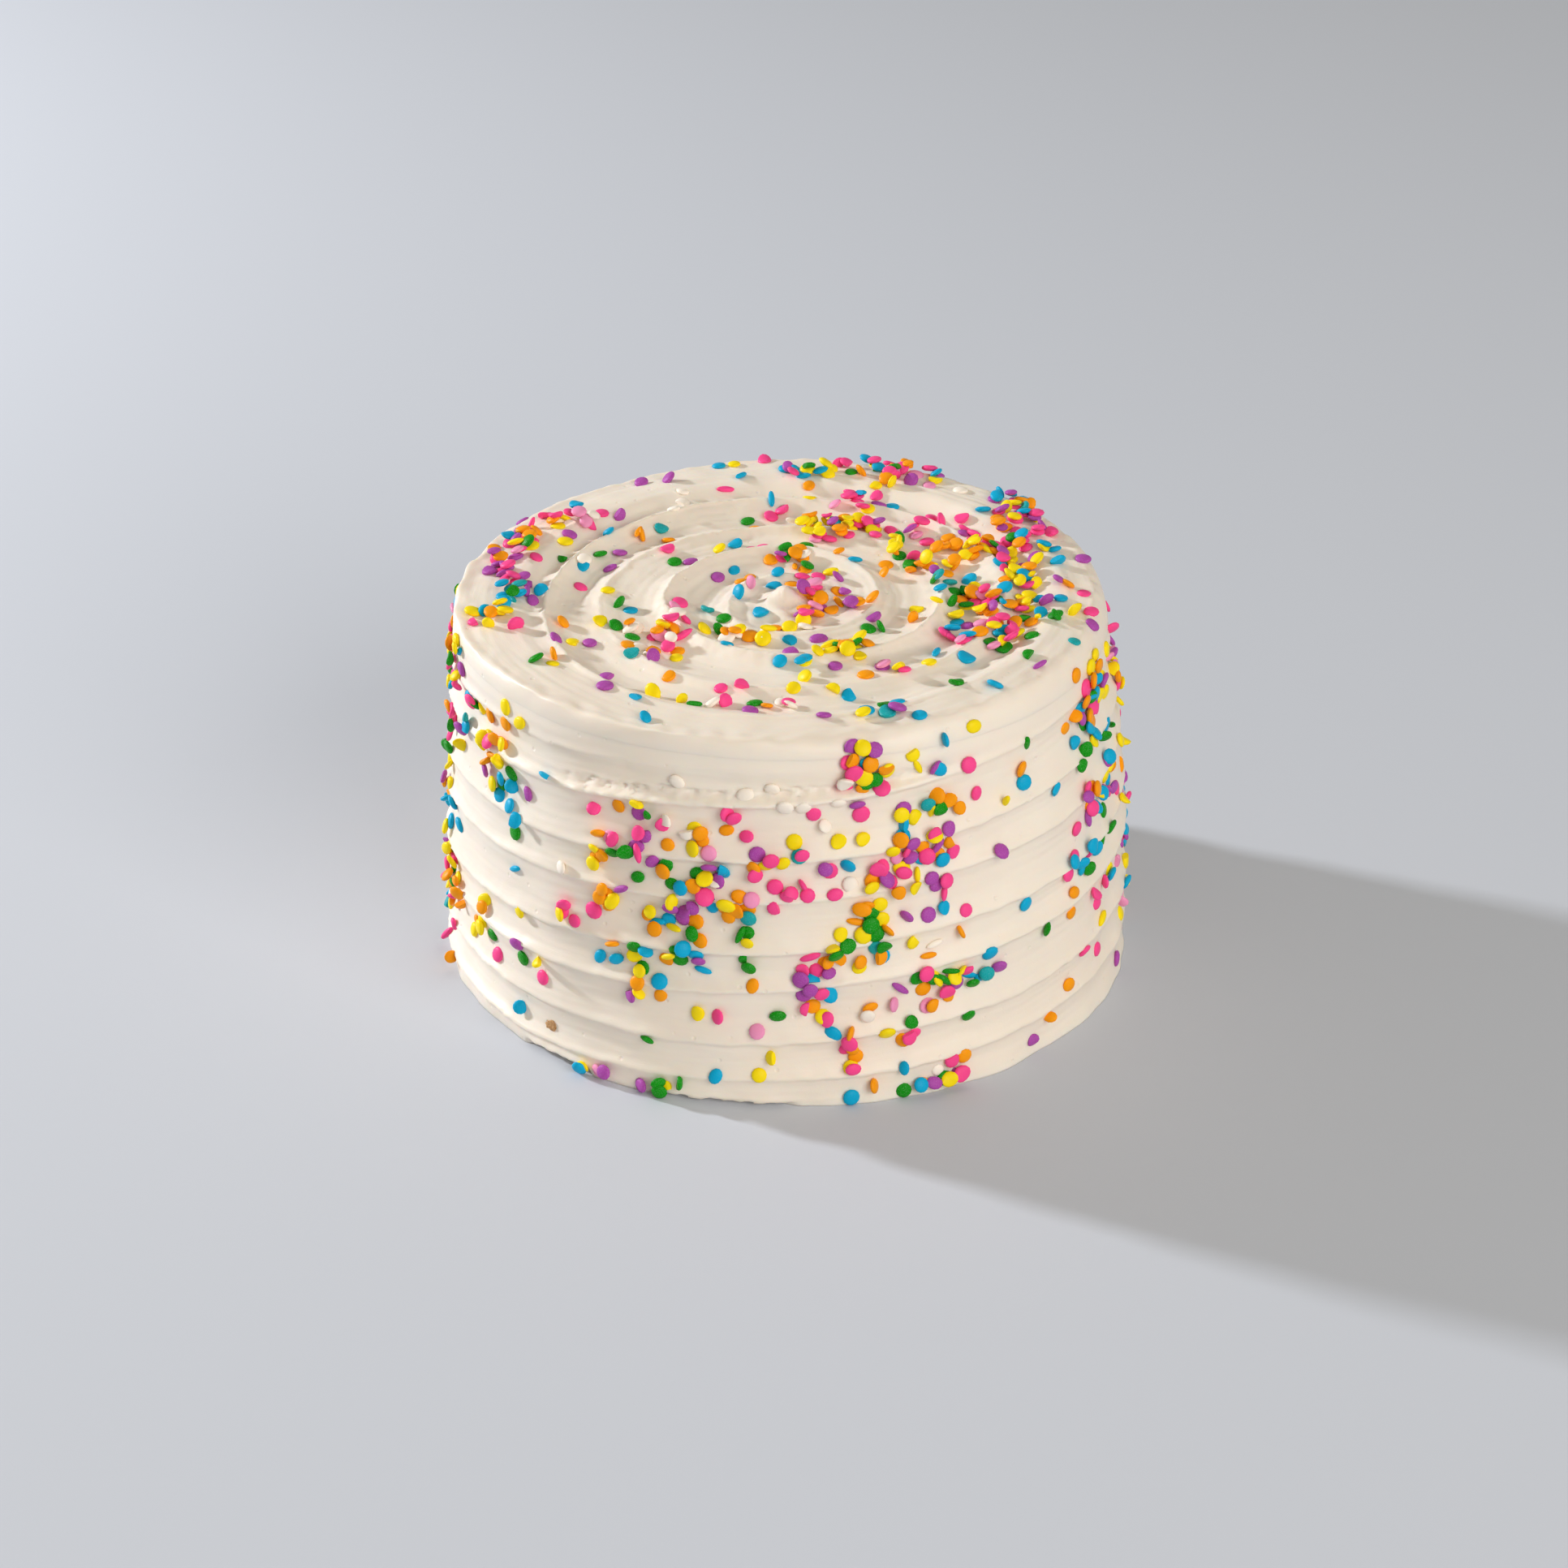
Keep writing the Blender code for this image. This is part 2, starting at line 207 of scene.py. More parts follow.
@dataclass(frozen=True)
class Buttercream:
    """Whipped ivory buttercream spread with a steel spatula.

    Fat and sugar let a little light in, so its shades are warm and soft, and the spatula leaves a
    satin surface with faint drawn lines and a few burst air bubbles.
    """

    pale: str = "#F8EEE0"
    warm: str = "#F2E4D3"
    roughness: float = 0.46
    light_depth: float = 2.2 * MM
    patch_size: float = 28.0 * MM
    drawn_line: float = 0.9 * MM

    # The whipped air's bubbles are too fine for the render, so the grain is drawn coarser.
    grain: float = 0.45 * MM
    bubble_spacing: float = 5.5 * MM

    # How strong and how deep the drawn lines are, then the grain, then the burst bubbles.
    reliefs: tuple[tuple[float, float], ...] = ((0.35, 0.08 * MM), (0.35, 0.05 * MM), (0.6, 0.20 * MM))

    def material(self) -> bpy.types.Material:
        """Make the icing's material.

        Returns:
            The material.
        """
        # Whipped buttercream: warm soft shades, a satin gloss, drawn lines and burst bubbles.
        material, tree = blank_material("whipped_buttercream")
        place = add_node(tree, "ShaderNodeTexCoord").outputs["Object"]
        along = add_node(tree, "ShaderNodeAttribute", {"attribute_name": "stroke"}).outputs["Vector"]
        cloudy = {"Scale": 1.0 / self.patch_size, "Detail": 2.0}
        patches = add_node(tree, "ShaderNodeTexNoise", cloudy, {"Vector": place})
        tints = {"data_type": "RGBA", 6: linear(self.pale), 7: linear(self.warm)}
        tint = add_node(tree, "ShaderNodeMix", tints, {0: patches.outputs["Fac"]})
        streaky = {"Scale": 1.0 / self.drawn_line, "Detail": 2.0, "Roughness": 0.55}
        lines = add_node(tree, "ShaderNodeTexNoise", streaky, {"Vector": along})
        fine = {"Scale": 1.0 / self.grain, "Detail": 1.0}
        grain = add_node(tree, "ShaderNodeTexNoise", fine, {"Vector": place})
        spaced = {"Scale": 1.0 / self.bubble_spacing, "Randomness": 1.0}
        bubbles = add_node(tree, "ShaderNodeTexVoronoi", spaced, {"Vector": place})
        edges = {"From Min": 0.05, "From Max": 0.11, "To Min": 0.0, "To Max": 1.0}
        burst = add_node(tree, "ShaderNodeMapRange", edges, {"Value": bubbles.outputs["Distance"]})
        heights = (lines.outputs["Fac"], grain.outputs["Fac"], burst.outputs["Result"])
        chain = {}
        for height, (strength, depth) in zip(heights, self.reliefs):
            chain["Height"] = height
            bump = add_node(tree, "ShaderNodeBump", {"Strength": strength, "Distance": depth}, chain)
            chain["Normal"] = bump.outputs["Normal"]
        satin = {
            "Roughness": self.roughness,
            "IOR": 1.46,
            "Subsurface Weight": 0.35,
            "Subsurface Radius": (1.0, 0.62, 0.36),
            "Subsurface Scale": self.light_depth,
        }
        links = {"Base Color": tint.outputs[2], "Normal": chain["Normal"]}
        surface = add_node(tree, "ShaderNodeBsdfPrincipled", satin, links)
        add_node(tree, "ShaderNodeOutputMaterial", links={"Surface": surface.outputs["BSDF"]})
        return material


class Sugar(Enum):
    """The confetti's colours: a letter, the piece's name, its colour and its share of the loose draws."""

    PINK = ("P", "pink_confetti", "#FF4D95", 0.15)
    LIGHT_PINK = ("L", "light_pink_confetti", "#F59BC4", 0.05)
    ORANGE = ("O", "orange_confetti", "#FFA108", 0.17)
    YELLOW = ("Y", "yellow_confetti", "#FFE30A", 0.17)
    BLUE = ("B", "blue_confetti", "#02ACD8", 0.17)
    PURPLE = ("V", "purple_confetti", "#B24CAE", 0.13)
    GREEN = ("G", "green_confetti", "#059406", 0.11)
    TEAL = ("T", "teal_confetti", "#10AAAE", 0.02)
    WHITE = ("W", "ivory_confetti", "#FFF4E6", 0.03)

    def __init__(self, letter: str, piece: str, colour: str, share: float) -> None:
        """Name the fields of a colour.

        Args:
            letter: How a heap's list names it.
            piece: The name of the piece that holds all discs of it.
            colour: Its sRGB hex colour.
            share: Its share of the discs that lie alone.
        """
        self.letter = letter
        self.piece = piece
        self.colour = colour
        self.share = share

    @property
    def slot(self) -> str:
        """Give the record's name for what the disc is made of."""
        near = {Sugar.LIGHT_PINK: "pink", Sugar.TEAL: "green", Sugar.WHITE: "white"}
        return f"{near.get(self, self.name.lower())}_sugar"

    @property
    def gritty(self) -> bool:
        """Say whether the disc shows its sugar crystals."""
        return self in (Sugar.PURPLE, Sugar.GREEN, Sugar.TEAL)


@dataclass(frozen=True)
class PressedSugar:
    """Confetti pressed from coloured icing sugar: satin, with a fine grit, and lighter specks painted where
    its crystals would glint.
    """

    colour: Sugar
    roughness: float = 0.38
    dull: float = 0.95
    # How far the painted glints move the colour towards white.
    bright: float = 1.32

    # The sugar's own crystals are too fine for the render, so both patterns are drawn coarser.
    grit: float = 0.30 * MM
    crystal: float = 0.22 * MM

    # A smooth dye first, then a gritty one; the first pair gives the strength of the painted glints.
    painted_sparkle: tuple[float, float] = (0.06, 0.24)
    relief: tuple[float, float] = (0.45, 0.9)

    def shade(self, factor: float) -> tuple[float, float, float, float]:
        """Give the colour made lighter or darker.

        Args:
            factor: How much; above 1 it moves towards white.

        Returns:
            The linear colour.
        """
        red, green, blue, alpha = linear(self.colour.colour)
        if factor <= 1.0:
            return red * factor, green * factor, blue * factor, alpha
        pull = factor - 1.0
        return (red + (1.0 - red) * pull, green + (1.0 - green) * pull, blue + (1.0 - blue) * pull, alpha)

    def material(self) -> bpy.types.Material:
        """Make the sugar's material.

        Returns:
            The material.
        """
        # Pressed sugar: a clear colour, a low sheen, and crystals whose glints are painted as lighter
        # specks, strongest in the darker dyes.
        material, tree = blank_material(self.colour.piece.replace("confetti", "pressed_sugar"))
        gritty = int(self.colour.gritty)
        place = add_node(tree, "ShaderNodeTexCoord").outputs["Object"]
        tone = add_node(tree, "ShaderNodeAttribute", {"attribute_name": "tone"}).outputs["Fac"]
        dyes = {"data_type": "RGBA", 6: self.shade(self.dull), 7: self.shade(1.0)}
        dyed = add_node(tree, "ShaderNodeMix", dyes, {0: tone})
        # Painted glints: the colour moves towards white where the crystals' noise is high.
        sharp = {"Scale": 1.0 / self.crystal, "Detail": 1.0}
        crystals = add_node(tree, "ShaderNodeTexNoise", sharp, {"Vector": place})
        glints = {"From Min": 0.50, "From Max": 0.74, "To Min": 0.0, "To Max": self.painted_sparkle[gritty]}
        painted_sparkle = add_node(tree, "ShaderNodeMapRange", glints, {"Value": crystals.outputs["Fac"]})
        bright = {"data_type": "RGBA", 7: self.shade(self.bright)}
        links = {0: painted_sparkle.outputs["Result"], 6: dyed.outputs[2]}
        speckled = add_node(tree, "ShaderNodeMix", bright, links)
        coarse = {"Scale": 1.0 / self.grit, "Detail": 2.0}
        grit = add_node(tree, "ShaderNodeTexNoise", coarse, {"Vector": place})
        uneven = {"Strength": self.relief[gritty], "Distance": 0.12 * MM}
        rough = add_node(tree, "ShaderNodeBump", uneven, {"Height": grit.outputs["Fac"]})
        satin = {
            "Roughness": self.roughness,
            "IOR": 1.50,
            "Specular IOR Level": 0.12,
            "Subsurface Weight": 0.12,
            "Subsurface Radius": (1.0, 0.7, 0.5),
            "Subsurface Scale": 0.5 * MM,
        }
        links = {"Base Color": speckled.outputs[2], "Normal": rough.outputs["Normal"]}
        surface = add_node(tree, "ShaderNodeBsdfPrincipled", satin, links)
        add_node(tree, "ShaderNodeOutputMaterial", links={"Surface": surface.outputs["BSDF"]})
        return material


@dataclass(frozen=True)
class BakedSponge:
    """Baked sponge that shows where the icing is thin: matt golden crumb, browner in the pores where its
    bump lies low.
    """

    crumb: str = "#D9B07A"
    brown: str = "#8E5A32"
    pore: float = 0.7 * MM

    def material(self) -> bpy.types.Material:
        """Make the crumb's material.

        Returns:
            The material.
        """
        # Baked sponge: a dry golden crumb, browner in the pores where the bump lies low.
        material, tree = blank_material("baked_sponge_crumb")
        place = add_node(tree, "ShaderNodeTexCoord").outputs["Object"]
        open_crumb = {"Scale": 1.0 / self.pore, "Detail": 3.0}
        pores = add_node(tree, "ShaderNodeTexNoise", open_crumb, {"Vector": place})
        tints = {"data_type": "RGBA", 6: linear(self.brown), 7: linear(self.crumb)}
        tint = add_node(tree, "ShaderNodeMix", tints, {0: pores.outputs["Fac"]})
        uneven = {"Strength": 0.8, "Distance": 0.3 * MM}
        rough = add_node(tree, "ShaderNodeBump", uneven, {"Height": pores.outputs["Fac"]})
        links = {"Base Color": tint.outputs[2], "Normal": rough.outputs["Normal"]}
        surface = add_node(tree, "ShaderNodeBsdfPrincipled", {"Roughness": 0.85, "IOR": 1.45}, links)
        add_node(tree, "ShaderNodeOutputMaterial", links={"Surface": surface.outputs["BSDF"]})
        return material


@dataclass(frozen=True)
class Ripple:
    """A layer of unevenness: its size, how fast it changes in a plane and out of it, and its start."""

    size: float
    across: float
    out: float = 0.0
    start: float = 0.0

    def at(self, first: np.ndarray, second: np.ndarray, third: np.ndarray | float = 0.0) -> np.ndarray:
        """Read the layer at many points, given by two coordinates in the plane and one out of it."""
        return self.size * noise_at(self.across * first, self.across * second, self.out * third + self.start)


@dataclass(frozen=True)
class SpatulaBands:
    """The side's bands: two strokes of the spatula's tip that climb round the cake together."""

    rise: float = 24.0 * MM
    starts: tuple[float, float] = (17.8 * MM, 31.8 * MM)
    first: int = -4
    last: int = 7
    depth: float = 1.6 * MM
    deepest: float = 0.52
    upper_lift: float = 0.78
    ridge: float = 0.95 * MM
    lip: float = 0.26 * MM
    lip_height: float = 1.3 * MM
    sway_low: float = -1.3 * MM
    sway_high: float = 2.2 * MM
    sway_from: float = 15.0 * MM
    sway_to: float = 32.0 * MM
    wobble: float = 0.45 * MM
    smooth_from: float = 82.5 * MM
    smooth_to: float = 88.5 * MM
    width: float = 34.0 * MM

    def edge(self, azimuth: np.ndarray, level: int) -> np.ndarray:
        """Give the height of a ridge between two bands.

        Args:
            azimuth: Where round the side.
            level: Which ridge; even and odd ones belong to the two strokes.

        Returns:
            The ridge's height at each azimuth.
        """
        angle = azimuth + TURN * (level // 2)
        height = self.starts[level % 2] + self.rise * angle / TURN
        growth = smooth_step(self.sway_from, self.sway_to, height)
        sway = self.sway_low + (self.sway_high - self.sway_low) * growth
        wobble = np.sin(2.3 * angle + 1.7 * (level % 2)) + 0.6 * np.sin(5.7 * angle + 0.4)
        return height + sway * np.sin(azimuth) + self.wobble * wobble

    def hollow(self, azimuth: np.ndarray, height: np.ndarray) -> tuple[np.ndarray, np.ndarray]:
        """Give how deep the bands lie.

        Args:
            azimuth: Where round the side.
            height: How high on it.

        Returns:
            The depth at each point, and how far up its band the point is, from 0 to 1. Above the
            bands, that follows the height alone.
        """
        edges = np.stack([self.edge(azimuth, level) for level in range(self.first, self.last + 1)])
        index, lower, upper, share = between(edges, height)
        below = 1.0 - (1.0 - share / self.deepest) ** 2
        above = 1.0 - self.upper_lift * ((share - self.deepest) / (1.0 - self.deepest)) ** 2
        profile = np.where(share < self.deepest, below, above)
        profile *= smooth_step(0.0, self.ridge, upper - height)
        pushed = self.lip * (0.8 + 1.5 * noise_at(azimuth * 9.0, index * 3.7, 6.0))
        swelling = pushed * swell(lower, self.lip_height, height)
        plain = smooth_step(self.smooth_from, self.smooth_to, height)
        share += plain * ((height - self.smooth_from) / self.width - share)
        return (self.depth * profile - swelling) * (1.0 - plain), share


@dataclass(frozen=True)
class TornStrip:
    """A strip above the highest ridge at the front, where the spatula tore the icing."""

    level: int = 5
    height: float = 4.3 * MM
    lip: float = 0.85 * MM
    recess: float = 0.95 * MM
    raggedness: float = 0.95 * MM
    start: float = math.radians(-46.0)
    end: float = math.radians(33.0)
    fade: float = math.radians(14.0)
    margin: tuple[float, float] = (2.0 * MM, 3.0 * MM)
    ragged_top: float = 0.45 * MM
    top_edge: float = 0.35 * MM
    lip_rise: float = 0.7 * MM
    lip_width: float = 0.7 * MM
    lip_back: tuple[float, float] = (0.6 * MM, 1.6 * MM)
    tears: float = 1.6 * MM
    scraps: float = 0.8 * MM

    def relief(self, bands: SpatulaBands, azimuth: np.ndarray, height: np.ndarray) -> np.ndarray:
        """Give how far the strip stands out, or in where negative.

        Args:
            bands: The bands that it lies on.
            azimuth: Where round the side.
            height: How high on it.

        Returns:
            The relief at each point.
        """
        above = height - bands.edge(azimuth, self.level)
        near = (above > -self.margin[0]) & (above < self.height + self.margin[1])
        relief = np.zeros(len(azimuth))
        spot = azimuth[near]
        level = above[near]
        along = stretch(self.start, self.end, self.fade, spot)
        top = self.height * (0.85 + 0.35 * noise_at(spot * 7.0, 2.0, 5.0))
        top += self.ragged_top * noise_at(spot * 45.0, 8.0, 1.0)
        lip = self.lip * swell(self.lip_rise, self.lip_width, level)
        lip *= 0.75 + 1.3 * noise_at(spot * 30.0, 4.0, 4.0)
        inside = smooth_step(*self.lip_back, level) * (1.0 - smooth_step(-self.top_edge, 0.0, level - top))
        torn = 1.0 - 2.4 * np.abs(noise_at(spot * 34.0, level / self.tears, 7.0))
        torn += 0.5 * noise_at(spot * 110.0, level / self.scraps, 2.0)
        relief[near] = along * (lip + inside * (self.raggedness * torn - self.recess))
        return relief


@dataclass(frozen=True)
class Undercut:
    """A gap at the foot, where the icing stops short of what the cake stands on."""

    azimuth: float
    half_width: float
    height: float = 1.7 * MM
    depth: float = 3.2 * MM
    lip: float = 0.8 * MM
    lip_rise: float = 0.9 * MM
    lip_width: float = 0.8 * MM
    edge: float = 0.5 * MM
    full_share: float = 0.55

    def relief(self, azimuth: np.ndarray, height: np.ndarray) -> np.ndarray:
        """Give how far the gap's lip stands out, or how deep the gap is where negative.

        Args:
            azimuth: Where round the side.
            height: How high on it, less the jags of the foot's edge.

        Returns:
            The relief at each point.
        """
        off = abs(azimuth - self.azimuth)
        across = 1.0 - smooth_step(self.full_share * self.half_width, self.half_width, off)
        above = height - self.height
        gap = self.depth * (1.0 - smooth_step(-self.edge, 0.0, above))
        return across * (self.lip * swell(self.lip_rise, self.lip_width, above) - gap)


@dataclass(frozen=True)
class Swirl:
    """The spiral groove that the spatula draws on the turning top.

    Every second turn of its crest is worn low, and the crests are ragged.
    """

    centre: tuple[float, float] = (-0.4 * MM, -6.0 * MM)
    start: float = 7.7 * MM
    pitch: float = 15.0 * MM
    depth: float = 3.3 * MM
    valley: float = 0.38
    reach: float = 68.0 * MM
    fade: float = 10.0 * MM
    faded: float = 0.9
    core: float = 5.0 * MM
    core_fade: float = 2.4
    peak: float = 2.2 * MM
    wander: float = 0.9 * MM
    worn: float = 1.6 * MM
    worn_from: float = math.radians(225.0)
    ragged: float = 0.9 * MM
    patches: Ripple = Ripple(1.2, 28.0, start=1.0)
    coarse_jag: Ripple = Ripple(1.0, 150.0, start=3.0)
    fine_jag: Ripple = Ripple(0.6, 420.0, start=8.0)
    pressure: Ripple = Ripple(0.45, 35.0, start=9.0)
    turns: int = 8

    def crest(self, angle: np.ndarray) -> np.ndarray:
        """Give how far the crest is from the centre after turning by an angle."""
        wander = np.sin(1.7 * angle) + 0.5 * np.sin(3.3 * angle + 1.0)
        return self.start + self.pitch * angle / TURN + self.wander * wander

    def groove(self, x: np.ndarray, y: np.ndarray) -> tuple[np.ndarray, np.ndarray, np.ndarray]:
        """Give how deep the groove lies.

        Args:
            x: The places on the top.
            y: The places on the top.

        Returns:
            The depth at each place, how far the place is from one crest to the next, from 0 to 1,
            which outside the swirl follows the distance alone, and that distance from its centre.
        """
        east = x - self.centre[0]
        north = y - self.centre[1]
        reach = np.hypot(east, north)
        angle = np.arctan2(north, east)
        patchy = 0.4 + np.abs(self.patches.at(x, y))
        edge = reach + self.ragged * patchy * (self.coarse_jag.at(x, y) + self.fine_jag.at(x, y))
        crests = np.stack([self.crest(angle + TURN * turn) for turn in range(-1, self.turns)])
        index, _, _, share = between(crests, edge)
        rise = 0.5 * share / self.valley
        fall = 0.5 + 0.5 * (share - self.valley) / (1.0 - self.valley)
        warped = np.where(share < self.valley, rise, fall)
        phase = 0.5 * (angle + TURN * (index - 2) - self.worn_from)
        low = 0.5 * self.worn * (1.0 + np.cos(phase) * (1.0 - 2.0 * smooth_step(0.0, 1.0, warped)))
        deepest = self.depth * (1.0 + self.pressure.at(x, y))
        depth = low + (deepest - low) * np.sin(math.pi * warped) ** 0.85
        plain = smooth_step(self.reach - self.fade, self.reach, reach)
        depth *= 1.0 - self.faded * plain
        share += plain * ((reach - self.reach) / self.pitch + 0.5 - share)
        core = smooth_step(self.core, self.core_fade * self.core, reach)
        peak = self.peak * (1.0 - smooth_step(0.0, self.core, reach))
        return depth * core + 0.5 * self.depth * (1.0 - core) - peak, share, reach


@dataclass(frozen=True)
class RimEdge:
    """The crisp, slightly overhanging edge that the spatula left round the rim's left and front."""

    start: float = math.radians(-125.0)
    end: float = math.radians(8.0)
    fade: float = math.radians(24.0)
    squareness: float = 2.4
    inset: float = 1.5 * MM
    width: float = 1.1 * MM
    lip: float = 0.65 * MM
    overhang: float = 1.1 * MM
    patches: Ripple = Ripple(0.5, 5.0, start=3.0)
    pulls: Ripple = Ripple(1.3, 110.0, start=4.0)

    def along(self, azimuth: np.ndarray) -> np.ndarray:
        """Say how crisp the rim is at each azimuth, where 0 is a rounded rim."""
        share = stretch(self.start, self.end, self.fade, azimuth)
        return share * (0.8 + self.patches.at(np.sin(azimuth), np.cos(azimuth)))


@dataclass(frozen=True)
class CakeForm:
    """The cake's form: it narrows and leans a little, and its top is tilted and uneven."""

    foot_radius: float = 86.6 * MM
    foot_flare: float = 0.9 * MM
    foot_flare_height: float = 8.0 * MM
    taper: float = 5.8 * MM
    taper_power: float = 2.2
    top_height: float = 98.8 * MM
    top_lean: tuple[float, float] = (-2.4 * MM, -1.0 * MM)
    top_tilt: tuple[float, float] = (0.025, 0.025)
    shoulder_height: float = 90.5 * MM
    shoulder_width: float = 4.8 * MM
    rim_drop: float = 1.0 * MM
    rim_drop_from: float = 4.0 * MM
    rim_drop_to: float = 18.0 * MM
    side_swell: Ripple = Ripple(0.80 * MM, 2.2, 14.0)
    band_edges: tuple[Ripple, ...] = (Ripple(0.40 * MM, 17.0, 130.0), Ripple(0.22 * MM, 60.0, 300.0))
    band_wear: Ripple = Ripple(0.55, 4.0, 45.0, 7.0)
    side_lumps: Ripple = Ripple(0.22 * MM, 7.0, 70.0, 3.0)
    side_lines: tuple[Ripple, ...] = (Ripple(0.15 * MM, 4.0, 9.0), Ripple(0.04 * MM, 7.0, 26.0))
    foot_skirt: Ripple = Ripple(0.7 * MM, 9.0, start=1.0)
    foot_skirt_height: float = 6.0 * MM
    foot_jag: Ripple = Ripple(0.9 * MM, 36.0, start=4.0)
    top_swell: Ripple = Ripple(0.80 * MM, 30.0, start=5.0)
    top_lines: tuple[Ripple, ...] = (Ripple(0.20 * MM, 45.0, 9.0), Ripple(0.04 * MM, 60.0, 30.0))
    top_lumps: Ripple = Ripple(0.30 * MM, 130.0, start=2.0)
    heart_lumps: Ripple = Ripple(1.5 * MM, 210.0, start=6.0)
    heart_inner: float = 8.0 * MM
    heart_outer: float = 20.0 * MM
    bead_lumps: Ripple = Ripple(0.55 * MM, 240.0, start=8.0)
    bead_inset: float = 3.0 * MM
    bead_width: float = 2.2 * MM
    bands: SpatulaBands = SpatulaBands()
    torn: TornStrip = TornStrip()
    swirl: Swirl = Swirl()
    rim: RimEdge = RimEdge()
    undercuts: tuple[Undercut, ...] = (
        Undercut(math.radians(-40.0), math.radians(8.0)),
        Undercut(math.radians(-10.0), math.radians(13.0), height=1.1 * MM, lip=0.4 * MM),
        Undercut(math.radians(140.0), math.radians(9.0)),
    )

    def lean(self, height: np.ndarray | float) -> np.ndarray:
        """Say how far the axis has moved at a height, as x and y."""
        share = np.asarray(height / self.top_height) ** 2
        return np.stack([self.top_lean[0] * share, self.top_lean[1] * share], axis=-1)

    def foot_relief(self, azimuth: np.ndarray, height: np.ndarray) -> np.ndarray:
        """Give the ragged skirt of icing at the foot, and its undercuts.

        Args:
            azimuth: Where round the side.
            height: How high on it.

        Returns:
            The relief at each point.
        """
        east = np.sin(azimuth)
        north = np.cos(azimuth)
        relief = self.foot_skirt.at(east, north) * (1.0 - smooth_step(0.0, self.foot_skirt_height, height))
        jagged = height - self.foot_jag.at(east, north)
        return sum((gap.relief(azimuth, jagged) for gap in self.undercuts), relief)

    def side(self, azimuth: np.ndarray, height: np.ndarray) -> tuple[np.ndarray, np.ndarray]:
        """Place points of the side.

        Args:
            azimuth: Where round the side.
            height: How high on it.

        Returns:
            The points, and how far up its band each one is.
        """
        east = np.sin(azimuth)
        north = np.cos(azimuth)
        radius = self.foot_radius - self.taper * (height / self.shoulder_height) ** self.taper_power
        radius += self.side_swell.at(east, north, height)
        radius += self.foot_flare * (1.0 - smooth_step(0.0, self.foot_flare_height, height))
        ragged = sum((ripple.at(east, north, height) for ripple in self.band_edges), height)
        hollow, share = self.bands.hollow(azimuth, ragged)
        radius -= hollow * (1.0 + self.band_wear.at(east, north, height))
        radius += self.torn.relief(self.bands, azimuth, height)
        radius += self.foot_relief(azimuth, height)
        radius += self.side_lumps.at(east, north, height)
        radius = sum((ripple.at(east, north, share) for ripple in self.side_lines), radius)
        centre = self.lean(height)
        x = centre[:, 0] + radius * east
        y = centre[:, 1] - radius * north
        return np.stack([x, y, height], axis=-1), share

    def top(self, azimuth: np.ndarray, inward: np.ndarray) -> tuple[np.ndarray, np.ndarray]:
        """Place points of the top and the shoulder.

        Args:
            azimuth: Where round the rim.
            inward: How far towards the rim from the middle, from 0 to 1.

        Returns:
            The points, and how far each is from one crest of the swirl to the next.
        """
        rim, _ = self.side(azimuth, np.full(len(azimuth), self.shoulder_height))
        centre = self.lean(self.shoulder_height)
        offset = rim[:, :2] - centre
        inset = np.hypot(offset[:, 0], offset[:, 1]) * (1.0 - inward)
        x, y = (centre + offset * inward[:, None]).T
        depth, share, reach = self.swirl.groove(x, y)
        level = self.top_height + self.top_swell.at(x, y)
        level -= self.rim_drop * (1.0 - smooth_step(self.rim_drop_from, self.rim_drop_to, inset))
        level += self.top_tilt[0] * x + self.top_tilt[1] * y - depth
        level = sum((ripple.at(x, y, share) for ripple in self.top_lines), level)
        level += self.top_lumps.at(x, y)
        heart = 1.0 - smooth_step(self.heart_inner, self.heart_outer, reach)
        bead = swell(self.bead_inset, self.bead_width, inset)
        level += heart * self.heart_lumps.at(x, y) + bead * self.bead_lumps.at(x, y)
        crisp = self.rim.along(azimuth)
        power = 2.0 + self.rim.squareness * crisp
        outer = 1.0 - np.clip((inset - JOINT) / self.shoulder_width, 0.0, 1.0)
        arc = (1.0 - outer**power) ** (1.0 / power)
        z = self.shoulder_height + (level - self.shoulder_height) * arc
        ridge = crisp * arc * swell(self.rim.inset, self.rim.width, inset)
        ridge *= 0.8 + self.rim.pulls.at(x, y)
        z += self.rim.lip * ridge
        push = 1.0 + self.rim.overhang * ridge / np.maximum(np.hypot(x, y), self.rim.width)
        return np.stack([x * push, y * push, z], axis=-1), share


